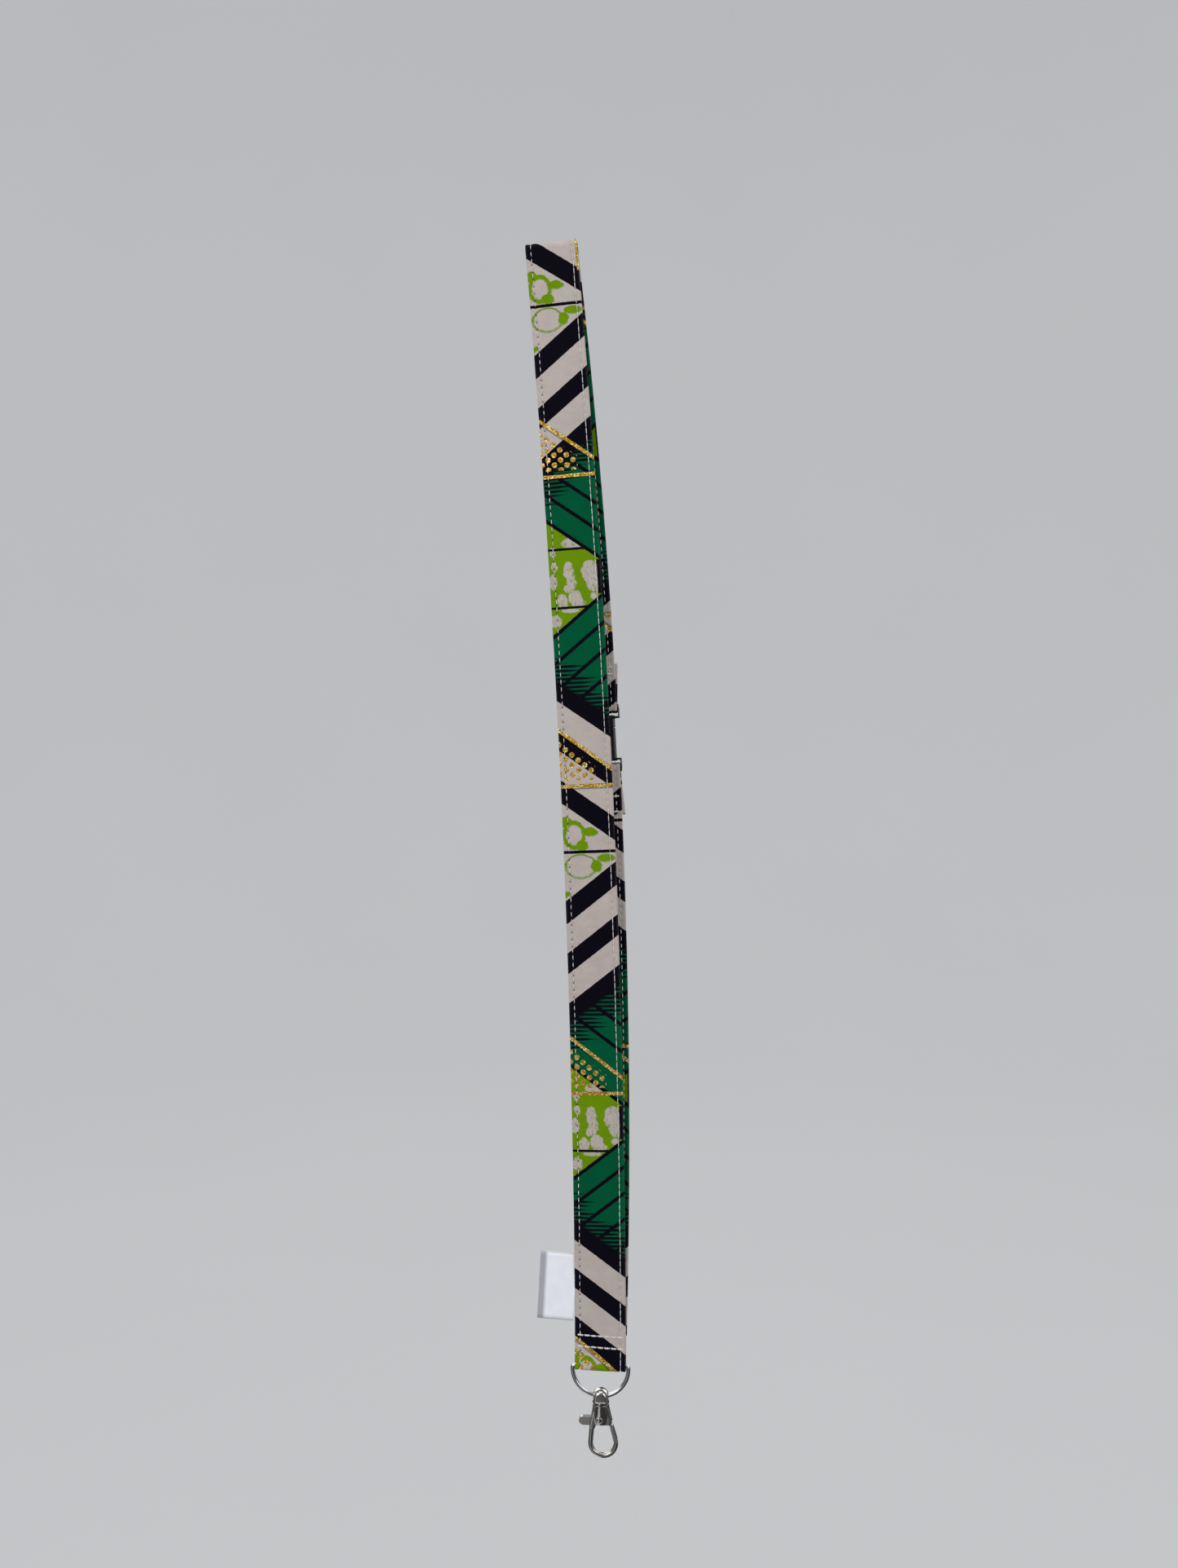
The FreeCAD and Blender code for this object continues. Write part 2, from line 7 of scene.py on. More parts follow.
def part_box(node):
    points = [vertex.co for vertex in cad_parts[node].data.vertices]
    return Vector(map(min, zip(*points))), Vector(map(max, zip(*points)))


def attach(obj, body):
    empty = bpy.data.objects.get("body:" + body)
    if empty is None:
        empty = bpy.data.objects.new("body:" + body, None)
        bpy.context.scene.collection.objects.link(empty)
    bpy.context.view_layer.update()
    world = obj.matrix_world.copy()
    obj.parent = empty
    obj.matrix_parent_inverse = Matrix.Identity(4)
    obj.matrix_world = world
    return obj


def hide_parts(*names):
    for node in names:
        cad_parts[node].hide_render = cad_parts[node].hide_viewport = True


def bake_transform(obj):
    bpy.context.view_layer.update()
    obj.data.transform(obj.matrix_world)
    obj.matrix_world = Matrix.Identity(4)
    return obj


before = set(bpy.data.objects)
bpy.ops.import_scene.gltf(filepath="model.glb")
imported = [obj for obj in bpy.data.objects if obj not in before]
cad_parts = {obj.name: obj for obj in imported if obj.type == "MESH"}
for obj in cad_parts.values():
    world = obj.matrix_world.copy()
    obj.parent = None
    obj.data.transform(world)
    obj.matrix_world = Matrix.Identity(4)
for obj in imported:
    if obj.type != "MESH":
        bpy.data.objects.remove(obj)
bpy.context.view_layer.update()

# Looks of a neck strap that hangs from a round rod. Lengths below are in millimetres, except for
# lamps and the camera, which are placed in metres. +X runs along the rod, the front run faces -Y,
# +Z is up.

MM = 0.001

# ---------------------------------------------------------------- the strap's route

STRAP_W = 25.0
ROD_FOLD_R = 3.7              # middle of the cloth over the rod
BOTTOM = (16.4, -545.0)       # x, z of the bottom fold
FRONT_MID = (14.4, -272.0)
BACK_MID = (16.6, -240.0)
BAR_Z = -542.45               # the ring's straight bar
BAR_FOLD_R = 1.85
PLY_GAP = 0.75                # middle of each ply from the plane where two plies are sewn
BUCKLE = (16.2, 7.2, -235.6)
BUCKLE_BAR = 15.0             # end bars above and below the buckle's middle
BUCKLE_FOLD_R = 2.35
INNER_PLY_Y = 6.45
OUTER_PLY_Y = 7.95
UPPER_HEM_Z = -199.1
LOWER_HEM_Z = -273.1
JOIN_Z = -527.4               # the upper row of the ring's stitching covers this butt joint

FULL_HALF_T = 0.74            # half the sewn strap's thickness along its middle
EDGE_DROP = 0.10              # and how much less it is at the edges
SEAM_PULL = 0.26              # how far the topstitching pulls each face in

END_ROUNDING = 0.6            # the strap thins over this length at its two ends
RIPPLE = 0.22                 # height of the cloth's slow waves
SEED = 1.0                    # picks which waves the noise gives

SEAM_W = 9.9                  # topstitching, from the strap's middle
STITCH = 3.5                  # one topstitch and its gap
THREAD_R = 0.175
DASH_SHARE = 0.6              # thread's share of a stitch in the seam that shows as dashes
LINE_SHARE = 0.98             # and in the one that looks unbroken
FLAP_SHIFT = 1.4              # the sewn-down ends lie this far to the right at their hems
RING_ROWS_Z = (-527.4, -533.1)
UPPER_ROWS_Z = (-204.4, -201.0)
LOWER_ROWS_Z = (-264.0, -271.6)


def bow(mid):
    """Centre x, centre z and radius, in XZ, of the arc from the origin through mid to the bottom."""
    x1, z1 = mid
    x2, z2 = BOTTOM
    square1 = x1 * x1 + z1 * z1
    square2 = x2 * x2 + z2 * z2
    det = 2 * (x1 * z2 - x2 * z1)
    cx = (square1 * z2 - square2 * z1) / det
    cz = (x1 * square2 - x2 * square1) / det
    return cx, cz, math.hypot(cx, cz)


BOWS = {"front": bow(FRONT_MID), "back": bow(BACK_MID)}


def bow_x(side, z):
    """x of the strap's middle at a height."""
    cx, cz, radius = BOWS[side]
    return cx + math.sqrt(radius ** 2 - (z - cz) ** 2)


def bow_across(side, z):
    """Direction across the strap at a height, from its left edge to its right."""
    _, cz, radius = BOWS[side]
    turn = math.asin((z - cz) / radius)
    return Vector((math.cos(turn), 0, math.sin(turn)))


def smooth_line(points, step):
    """Catmull-Rom line through (y, z) points, sampled about every step."""
    ends = [points[0]] + list(points) + [points[-1]]
    line = []
    for p0, p1, p2, p3 in zip(ends, ends[1:], ends[2:], ends[3:]):
        length = math.dist(p1, p2)
        count = max(1, round(length / step))
        before = max(math.dist(p0, p1), 1e-6)
        after = max(math.dist(p2, p3), 1e-6)
        for k in range(count):
            t = k / count
            spot = []
            for a in (0, 1):
                rise = (p2[a] - p1[a])
                m1 = rise if before < 1e-5 else \
                    ((p1[a] - p0[a]) / before * length + rise) / 2
                m2 = rise if after < 1e-5 else \
                    ((p3[a] - p2[a]) / after * length + rise) / 2
                h1 = 2 * t ** 3 - 3 * t ** 2 + 1
                h2 = t ** 3 - 2 * t ** 2 + t
                h3 = -2 * t ** 3 + 3 * t ** 2
                h4 = t ** 3 - t ** 2
                spot.append(h1 * p1[a] + h2 * m1 + h3 * p2[a] + h4 * m2)
            line.append(tuple(spot))
    line.append(tuple(points[-1]))
    return line


def turn_line(y, z, radius, start_deg, end_deg, count):
    """(y, z) points on an arc; 0 degrees is +Y and 90 is up. The ends are left out."""
    line = []
    for k in range(1, count):
        angle = math.radians(start_deg + (end_deg - start_deg) * k / count)
        line.append((y + radius * math.cos(angle), z + radius * math.sin(angle)))
    return line


class Station:
    """One cross-section of the strap: its middle, the way across, outward, and the length so far."""

    def __init__(self, middle, across):
        self.middle = middle
        self.across = across
        self.out = None
        self.along = 0.0


def flap_shift(y, z):
    """How far a sewn-down end has slipped to the right there: nothing at its bar."""
    if y <= BUCKLE[1] or z < LOWER_HEM_Z - 1:
        return 0.0
    from_bar = abs(abs(z - BUCKLE[2]) - BUCKLE_BAR)
    return FLAP_SHIFT * min(1.0, from_bar / 20)


def stations(line, side_of, along_at):
    """Stations on a (y, z) line. along_at is (index, length) of one known station."""
    result = []
    for y, z in line:
        side = side_of(y, z)
        x = bow_x(side, z) + flap_shift(y, z)
        result.append(Station(Vector((x, y, z)), bow_across(side, z)))
    for index, station in enumerate(result):
        before = result[max(index - 1, 0)]
        after = result[min(index + 1, len(result) - 1)]
        run = (after.middle - before.middle).normalized()
        station.out = run.cross(station.across).normalized()
        if index:
            station.along = before.along + (station.middle - before.middle).length
    known, length = along_at
    shift = length - result[known].along
    for station in result:
        station.along += shift
    return result


def upper_route():
    """Hem behind the buckle's upper bar, round the bar, up the back, over the rod, down the
    front and round the ring's bar."""
    bar_z = BUCKLE[2] + BUCKLE_BAR
    y = BUCKLE[1]
    line = smooth_line([(OUTER_PLY_Y, UPPER_HEM_Z), (OUTER_PLY_Y, bar_z + 15.5),
                        (y + BUCKLE_FOLD_R, bar_z)], 0.7)
    line += turn_line(y, bar_z, BUCKLE_FOLD_R, 0, -180, 16)
    line += smooth_line([(y - BUCKLE_FOLD_R, bar_z), (INNER_PLY_Y, bar_z + 15.5),
                         (INNER_PLY_Y, UPPER_HEM_Z + 4), (5.6, -90), (ROD_FOLD_R, 0)], 0.8)
    line += turn_line(0, 0, ROD_FOLD_R, 0, 180, 22)
    top = len(line)
    line += smooth_line([(-ROD_FOLD_R, 0), (-5.9, -90), (-6.8, -240), (-5.4, -400),
                         (-PLY_GAP, -527), (-PLY_GAP, -536), (-BAR_FOLD_R, BAR_Z)], 0.8)
    line += turn_line(0, BAR_Z, BAR_FOLD_R, 180, 360, 16)
    line += smooth_line([(BAR_FOLD_R, BAR_Z), (PLY_GAP, -536), (PLY_GAP, JOIN_Z)], 0.5)
    return stations(line, lambda y, z: "back" if y > 2 and z > -300 else "front", (top, 0.0))


def lower_route(start_along):
    """From the ring's stitching up the back and round the buckle's lower bar to the hem."""
    bar_z = BUCKLE[2] - BUCKLE_BAR
    y = BUCKLE[1]
    line = smooth_line([(PLY_GAP, JOIN_Z), (PLY_GAP + 0.04, -526), (5.6, -400),
                        (INNER_PLY_Y, -290), (INNER_PLY_Y, bar_z - 13),
                        (y - BUCKLE_FOLD_R, bar_z)], 0.8)
    line += turn_line(y, bar_z, BUCKLE_FOLD_R, 180, 0, 16)
    line += smooth_line([(y + BUCKLE_FOLD_R, bar_z), (OUTER_PLY_Y, bar_z - 13),
                         (OUTER_PLY_Y, LOWER_HEM_Z)], 0.7)
    return stations(line, lambda y, z: "back", (0, start_along))


# ---------------------------------------------------------------- mesh helpers

def new_object(name, verts_mm, faces, smooth=True):
    mesh = bpy.data.meshes.new(name)
    mesh.from_pydata([tuple(v * MM for v in vert) for vert in verts_mm], [], faces)
    mesh.validate()
    mesh.polygons.foreach_set("use_smooth", [smooth] * len(mesh.polygons))
    mesh.update()
    obj = bpy.data.objects.new(name, mesh)
    bpy.context.scene.collection.objects.link(obj)
    return obj


def put_uv(obj, corner_uv):
    """corner_uv lists (u, v) for the face corners in order."""
    layer = obj.data.uv_layers.new(name="cloth")
    layer.data.foreach_set("uv", [value for pair in corner_uv for value in pair])


def bell(distance, width):
    """1 at no distance, falling off smoothly over about the width."""
    return math.exp(-(distance / width) ** 2)


def half_thickness(w):
    """Soft crown of the sewn strap: fullest in its middle and pulled in at both seams."""
    crown = FULL_HALF_T - EDGE_DROP * (abs(w) / (STRAP_W / 2)) ** 2
    return crown - SEAM_PULL * bell(abs(w) - SEAM_W, 0.95)


def section():
    """(w, side, share, across) round the strap, from the groove in the left edge and back to it.
    side is 1 on the outer face and -1 on the inner, share is of the half thickness there, and
    across is the print's own coordinate, which runs on round the right edge."""
    half_w = STRAP_W / 2
    flat = [-12.0, -11.3, -10.7, -10.3, -9.9, -9.5, -9.1, -8.5, -7.4, -6.0, -4.4, -2.6, -0.9]
    flat = flat + [-w for w in flat[::-1]]
    ring = [(-11.95, 1, 0.0, 0.0), (-12.3, 1, 0.12, 0.15), (-12.5, 1, 0.45, 0.3),
            (-12.38, 1, 0.82, 0.4)]
    ring += [(w, 1, 1.0, w + half_w) for w in flat]
    ring += [(12.3, 1, 0.8, 24.75), (12.46, 1, 0.4, 24.9), (12.5, 1, 0.0, 25.0),
             (12.46, -1, 0.4, 25.1), (12.3, -1, 0.8, 25.25)]
    ring += [(w, -1, 1.0, 37.5 - w) for w in flat[::-1]]
    ring += [(-12.38, -1, 0.82, 49.6), (-12.5, -1, 0.45, 49.7), (-12.3, -1, 0.12, 49.85)]
    return ring


SECTION = section()


def ripple(along, w):
    """Slight waves that both faces of the cloth share."""
    return RIPPLE * noise.noise(Vector((along / 28, w / 30, SEED)))


def pucker(along, w, face):
    """The thread pulls the face down along each stitch, and the edge lifts in step with it."""
    near = bell(abs(w) - SEAM_W, 0.8)
    edge = bell(abs(w) - 11.6, 0.7)
    beat = math.cos(2 * math.pi * along / STITCH)
    grain = noise.noise(Vector((along / 2.3, w / 2.0, 7.0 * face)))
    return -0.11 * near * beat + 0.05 * edge * beat + 0.035 * grain


def ribbon(name, line):
    """Closed mesh of the sewn strap along its stations."""
    ring = SECTION
    count = len(ring)
    verts = []
    last = len(line) - 1
    for station in line:
        from_end = min(station.along - line[0].along, line[last].along - station.along)
        fullness = min(1.0, from_end / END_ROUNDING)
        end_share = 0.45 + 0.55 * fullness
        narrow = 1.0 - 0.006 * (1 - fullness)
        narrow += 0.005 * noise.noise(Vector((station.along / 9, SEED, 2.0)))
        for w, face, share, across in ring:
            lift = face * share * end_share * (half_thickness(w) + pucker(station.along, w, face))
            lift += ripple(station.along, w)
            spot = station.middle + station.across * w * narrow + station.out * lift
            verts.append(spot)
    faces = []
    uvs = []
    for i in range(last):
        for j in range(count):
            k = (j + 1) % count
            faces.append((i * count + j, i * count + k, (i + 1) * count + k, (i + 1) * count + j))
            far_across = 2 * STRAP_W if k == 0 else ring[k][3]
            for across, station in ((ring[j][3], line[i]), (far_across, line[i]),
                                    (far_across, line[i + 1]), (ring[j][3], line[i + 1])):
                uvs.append((across * MM, station.along * MM))
    for i, flip in ((0, True), (last, False)):
        half = count // 2
        for j in range(half):
            a, b = j, j + 1
            c, d = (count - j - 1) % count, (count - j) % count
            quad = [a, b, c, d] if j else [a, b, c]
            if b == c:
                quad = quad[:2] + quad[3:]
            if len(set(quad)) < 3:
                continue
            quad = quad[::-1] if flip else quad
            faces.append(tuple(i * count + q for q in quad))
            for q in quad:
                uvs.append((ring[q][3] * MM, line[i].along * MM))
    obj = new_object(name, verts, faces)
    put_uv(obj, uvs)
    return obj


def skin(faces, first, rings, sides):
    """Quads between neighbouring rings of points, where each ring is closed."""
    for i in range(rings - 1):
        low = first + i * sides
        for k in range(sides):
            m = (k + 1) % sides
            faces.append((low + k, low + m, low + sides + m, low + sides + k))


def tube(verts, faces, points, radii, up, sides=6):
    """Add one capped tube along points."""
    first = len(verts)
    for index, point in enumerate(points):
        before = points[max(index - 1, 0)]
        after = points[min(index + 1, len(points) - 1)]
        run = (after - before).normalized()
        side = run.cross(up).normalized()
        lift = side.cross(run)
        for k in range(sides):
            angle = 2 * math.pi * k / sides
            verts.append(point + (side * math.cos(angle) + lift * math.sin(angle)) * radii[index])
    skin(faces, first, len(points), sides)
    faces.append(tuple(first + k for k in range(sides))[::-1])
    faces.append(tuple(first + (len(points) - 1) * sides + k for k in range(sides)))


def at_along(line, along):
    """Middle, across and outward directions at a length, between stations."""
    low, high = 0, len(line) - 1
    while high - low > 1:
        mid = (low + high) // 2
        if line[mid].along > along:
            high = mid
        else:
            low = mid
    a, b = line[low], line[high]
    t = (along - a.along) / (b.along - a.along)
    return a.middle.lerp(b.middle, t), a.across.lerp(b.across, t), a.out.lerp(b.out, t).normalized()


def surface(line, along, w, face, above):
    """A point a little above the strap's face, and the way out of it."""
    middle, across, out = at_along(line, along)
    lift = face * (half_thickness(w) + pucker(along, w, face) + above) + ripple(along, w)
    return middle + across * w + out * lift, out * face


def topstitching(name, line):
    """Thread along both edges of both faces: short dashes on the left, a nearly unbroken line
    on the right."""
    verts = []
    faces = []
    start = math.ceil((line[0].along + 2) / STITCH)
    end = math.floor((line[-1].along - 2) / STITCH)
    rings = 7
    for side in (-1, 1):
        for face in (-1, 1):
            for k in range(start, end):
                drift = 0.16 * noise.noise(Vector((k * STITCH / 14, side * 3.0, face * 5.0)))
                w = side * SEAM_W + drift
                share = DASH_SHARE if side * face < 0 else LINE_SHARE
                points = []
                radii = []
                for m in range(rings):
                    t = m / (rings - 1)
                    along = (k + 0.5 + share * (t - 0.5)) * STITCH
                    above = THREAD_R * (-0.8 + 1.6 * math.sin(math.pi * t) ** 0.5)
                    spot, up = surface(line, along, w, face, above)
                    points.append(spot)
                    radii.append(THREAD_R * (0.7 + 0.3 * math.sin(math.pi * t)))
                tube(verts, faces, points, radii, up)
    return new_object(name, verts, faces)


def twisted_row(verts, faces, line, along, face, slant):
    """One heavy row across the strap: stitches of two strands twisted together."""
    pitch = 3.25
    strand_r = 0.29
    twist_r = 0.21
    count = 7
    rings = 15
    for k in range(count):
        start_w = (k - count / 2) * pitch + 0.2
        nudge = 0.12 * noise.noise(Vector((k * 1.7, along, SEED)))
        for strand in (0, 1):
            points = []
            radii = []
            for m in range(rings):
                t = m / (rings - 1)
                w = start_w + t * (pitch - 0.35)
                turn = 2 * math.pi * (1.6 * t + strand / 2)
                middle, across, out = at_along(line, along + slant * w + nudge)
                arch = math.sin(math.pi * t) ** 0.5
                lift = half_thickness(w) - 0.32 + 0.42 * arch + twist_r * math.sin(turn)
                down = out.cross(across)
                lift = face * lift + ripple(along, w)
                points.append(middle + across * w + out * lift + down * twist_r * math.cos(turn))
                radii.append(strand_r * (0.65 + 0.35 * arch))
            tube(verts, faces, points, radii, at_along(line, along)[2])


def along_of(line, z, after=None, before=None):
    """Length along the strap where it passes a height, on the stretch between two lengths."""
    for a, b in zip(line, line[1:]):
        if after is not None and a.along < after:
            continue
        if before is not None and b.along > before:
            continue
        if (a.middle.z - z) * (b.middle.z - z) <= 0 and a.middle.z != b.middle.z:
            t = (z - a.middle.z) / (b.middle.z - a.middle.z)
            return a.along + t * (b.along - a.along)
    raise ValueError("the strap doesn't pass that height")


# ---------------------------------------------------------------- node arithmetic

class Field:
    """A number that varies over a surface: Python operators on it add Math nodes."""

    def __init__(self, tree, socket):
        self.tree = tree
        self.socket = socket

    def math(self, operation, *others, clamp=False):
        node = self.tree.nodes.new("ShaderNodeMath")
        node.operation = operation
        node.use_clamp = clamp
        for slot, value in enumerate((self,) + others):
            if isinstance(value, Field):
                self.tree.links.new(value.socket, node.inputs[slot])
            else:
                node.inputs[slot].default_value = value
        return Field(self.tree, node.outputs[0])

    def __add__(self, other):
        return self.math("ADD", other)

    def __sub__(self, other):
        return self.math("SUBTRACT", other)

    def __mul__(self, other):
        return self.math("MULTIPLY", other)

    def __truediv__(self, other):
        return self.math("DIVIDE", other)

    def __abs__(self):
        return self.math("ABSOLUTE")

    def below(self, edge, soft=0.12):
        """1 where the value is under the edge, 0 over it, with a soft step."""
        step = self.math("SUBTRACT", edge).math("MULTIPLY", -1 / soft)
        return step.math("ADD", 0.5, clamp=True)

    def above(self, edge, soft=0.12):
        return self.math("SUBTRACT", edge).math("MULTIPLY_ADD", 1 / soft, 0.5, clamp=True)

    def between(self, low, high, soft=0.12):
        return self.above(low, soft) * self.below(high, soft)

    def either(self, other):
        return self.math("MAXIMUM", other)

    def inverse(self):
        return self.math("SUBTRACT", 1.0).math("MULTIPLY", -1.0)

    def wrapped(self, low, high):
        return self.math("WRAP", high, low)

    def cell(self, size):
        """Index of the cell of that size that the value is in."""
        return (self / size).math("FLOOR")


def srgb(r, g, b):
    """Linear colour from 8-bit sRGB."""
    def channel(value):
        share = value / 255
        return share / 12.92 if share <= 0.04045 else ((share + 0.055) / 1.055) ** 2.4
    return (channel(r), channel(g), channel(b), 1.0)


class Paint:
    """A material's node tree, with short calls for the nodes used here."""

    def __init__(self, name):
        self.material = bpy.data.materials.new(name)
        self.material.use_nodes = True
        self.tree = self.material.node_tree
        self.shader = self.tree.nodes["Principled BSDF"]

    def node(self, kind, **settings):
        node = self.tree.nodes.new(kind)
        for key, value in settings.items():
            setattr(node, key, value)
        return node

    def link(self, source, target):
        self.tree.links.new(source.socket if isinstance(source, Field) else source, target)

    def uv(self):
        """(across, along) in millimetres."""
        source = self.node("ShaderNodeUVMap", uv_map="cloth")
        split = self.node("ShaderNodeSeparateXYZ")
        self.link(source.outputs[0], split.inputs[0])
        across = Field(self.tree, split.outputs[0]) * 1000.0
        along = Field(self.tree, split.outputs[1]) * 1000.0
        return across, along

    def vector(self, x, y, z=0.0):
        node = self.node("ShaderNodeCombineXYZ")
        for slot, value in enumerate((x, y, z)):
            if isinstance(value, Field):
                self.link(value, node.inputs[slot])
            else:
                node.inputs[slot].default_value = value
        return node.outputs[0]

    def place(self):
        return self.node("ShaderNodeTexCoord").outputs["Object"]

    def noise(self, vector, scale, detail=2.0, rough=0.5):
        node = self.node("ShaderNodeTexNoise")
        self.link(vector, node.inputs["Vector"])
        node.inputs["Scale"].default_value = scale
        node.inputs["Detail"].default_value = detail
        node.inputs["Roughness"].default_value = rough
        return Field(self.tree, node.outputs[0])

    def white(self, vector):
        node = self.node("ShaderNodeTexWhiteNoise", noise_dimensions="3D")
        self.link(vector, node.inputs["Vector"])
        return Field(self.tree, node.outputs[0])

    def flakes(self, vector, scale):
        """A random value for each cell of a Voronoi pattern."""
        node = self.node("ShaderNodeTexVoronoi")
        self.link(vector, node.inputs["Vector"])
        node.inputs["Scale"].default_value = scale
        split = self.node("ShaderNodeSeparateColor")
        self.link(node.outputs["Color"], split.inputs[0])
        return Field(self.tree, split.outputs[0])

    def mix(self, below, above, share):
        """Colour above over colour below. A colour is a socket or four numbers."""
        node = self.node("ShaderNodeMix", data_type="RGBA")
        if isinstance(share, Field):
            self.link(share, node.inputs[0])
        else:
            node.inputs[0].default_value = share
        for slot, colour in ((6, below), (7, above)):
            if isinstance(colour, tuple):
                node.inputs[slot].default_value = colour
            else:
                self.link(colour, node.inputs[slot])
        return node.outputs[2]

    def shade(self, colour, amount):
        """Colour times a number that varies about 1."""
        node = self.node("ShaderNodeVectorMath", operation="SCALE")
        self.link(colour, node.inputs[0])
        self.link(amount, node.inputs["Scale"])
        return node.outputs[0]

    def bump(self, height, distance, strength=1.0, under=None):
        node = self.node("ShaderNodeBump")
        node.inputs["Distance"].default_value = distance
        node.inputs["Strength"].default_value = strength
        self.link(height, node.inputs["Height"])
        if under is not None:
            self.link(under, node.inputs["Normal"])
        return node.outputs[0]

    def set(self, **inputs):
        """Shader inputs by name, underscores for spaces: a socket, a Field or a constant."""
        for key, value in inputs.items():
            socket = self.shader.inputs[key.replace("_", " ")]
            if isinstance(value, (Field, bpy.types.NodeSocket)):
                self.link(value, socket)
            else:
                socket.default_value = value
        return self.material


# ---------------------------------------------------------------- printed cotton

GREIGE = srgb(186, 175, 169)
BLACK = srgb(12, 9, 20)
GREEN = srgb(0, 84, 53)
LIME = srgb(106, 142, 9)
GOLD = srgb(226, 172, 46)
# pale gold painted on the brightest flakes as sparkle highlights
GOLD_SPARKLE_HIGHLIGHT = srgb(255, 240, 170)

CELL_A = 27.5                 # length along the strap at the first grey cell's middle
HALF_PERIOD = 131.4           # from a grey cell's middle to a lime cell's middle
SLANT = 18.7 / STRAP_W        # drop of the diagonals over the strap's width
BACK_SLANT = 19.3 / STRAP_W
HATCH_START = 84.0            # the black starts to run out into hatching
HATCH_END = 97.0              # and the hatching's points end about here
HATCH_TAPER = 9.0
HATCH_PITCH = 2.0
GREY_CORE = 23.7              # the grey cell's middle field, then its stripes, then its end
GREY_STRIPES = [(35.0, 49.0), (59.1, 73.2)]
GREY_END = 76.0
LIME_END = 27.0               # the lime cell's end, where the green field's bands begin
BAND_PITCH = 12.9
BAND_W = 2.2
GOLD_START = 82.5             # a gold diagonal crosses the left edge here
GOLD_PERIOD = 148.8
GOLD_DROP = 19.8 / STRAP_W
GOLD_LEVEL = 27.3             # from the diagonal's start to the level line
DOT_PITCH = (3.0, 4.8)        # gold dots, across and along
DOT_R = 1.3

# Ellipses of the two cells: across, along from the cell's middle, half width, half length.
PALE_BLOBS = [
    (2.6, -6.0, 1.5, 2.3), (1.6, 1.4, 2.0, 3.8), (9.4, -3.6, 2.5, 4.4), (10.4, 1.8, 2.3, 4.2),
    (8.4, 5.0, 1.8, 2.0), (19.6, -2.6, 4.0, 5.4), (21.0, 2.4, 3.4, 4.6), (5.6, 11.0, 2.5, 3.8),
    (11.8, 9.4, 3.2, 3.6), (13.2, 12.4, 3.4, 2.4), (20.8, 9.2, 1.8, 1.6), (2.0, 20.4, 2.8, 3.0),
    (9.4, 15.6, 4.4, 0.9), (13.0, -16.8, 6.4, 2.7), (2.2, -13.0, 1.7, 2.4),
]
LIME_BLOBS = [
    (13.4, -9.6, 3.8, 2.2), (9.0, -3.0, 3.0, 2.6), (2.0, -14.5, 2.6, 2.8),
    (20.4, 3.2, 4.4, 2.0), (15.6, 7.0, 2.6, 3.0), (1.6, 21.5, 1.8, 2.6),
]
# The same, then the inner and outer edge of the ring as shares of the ellipse.
LIME_RINGS = [(5.4, -8.2, 4.4, 5.6, 0.86, 1.28), (8.0, 7.0, 7.2, 5.6, 0.94, 1.08)]


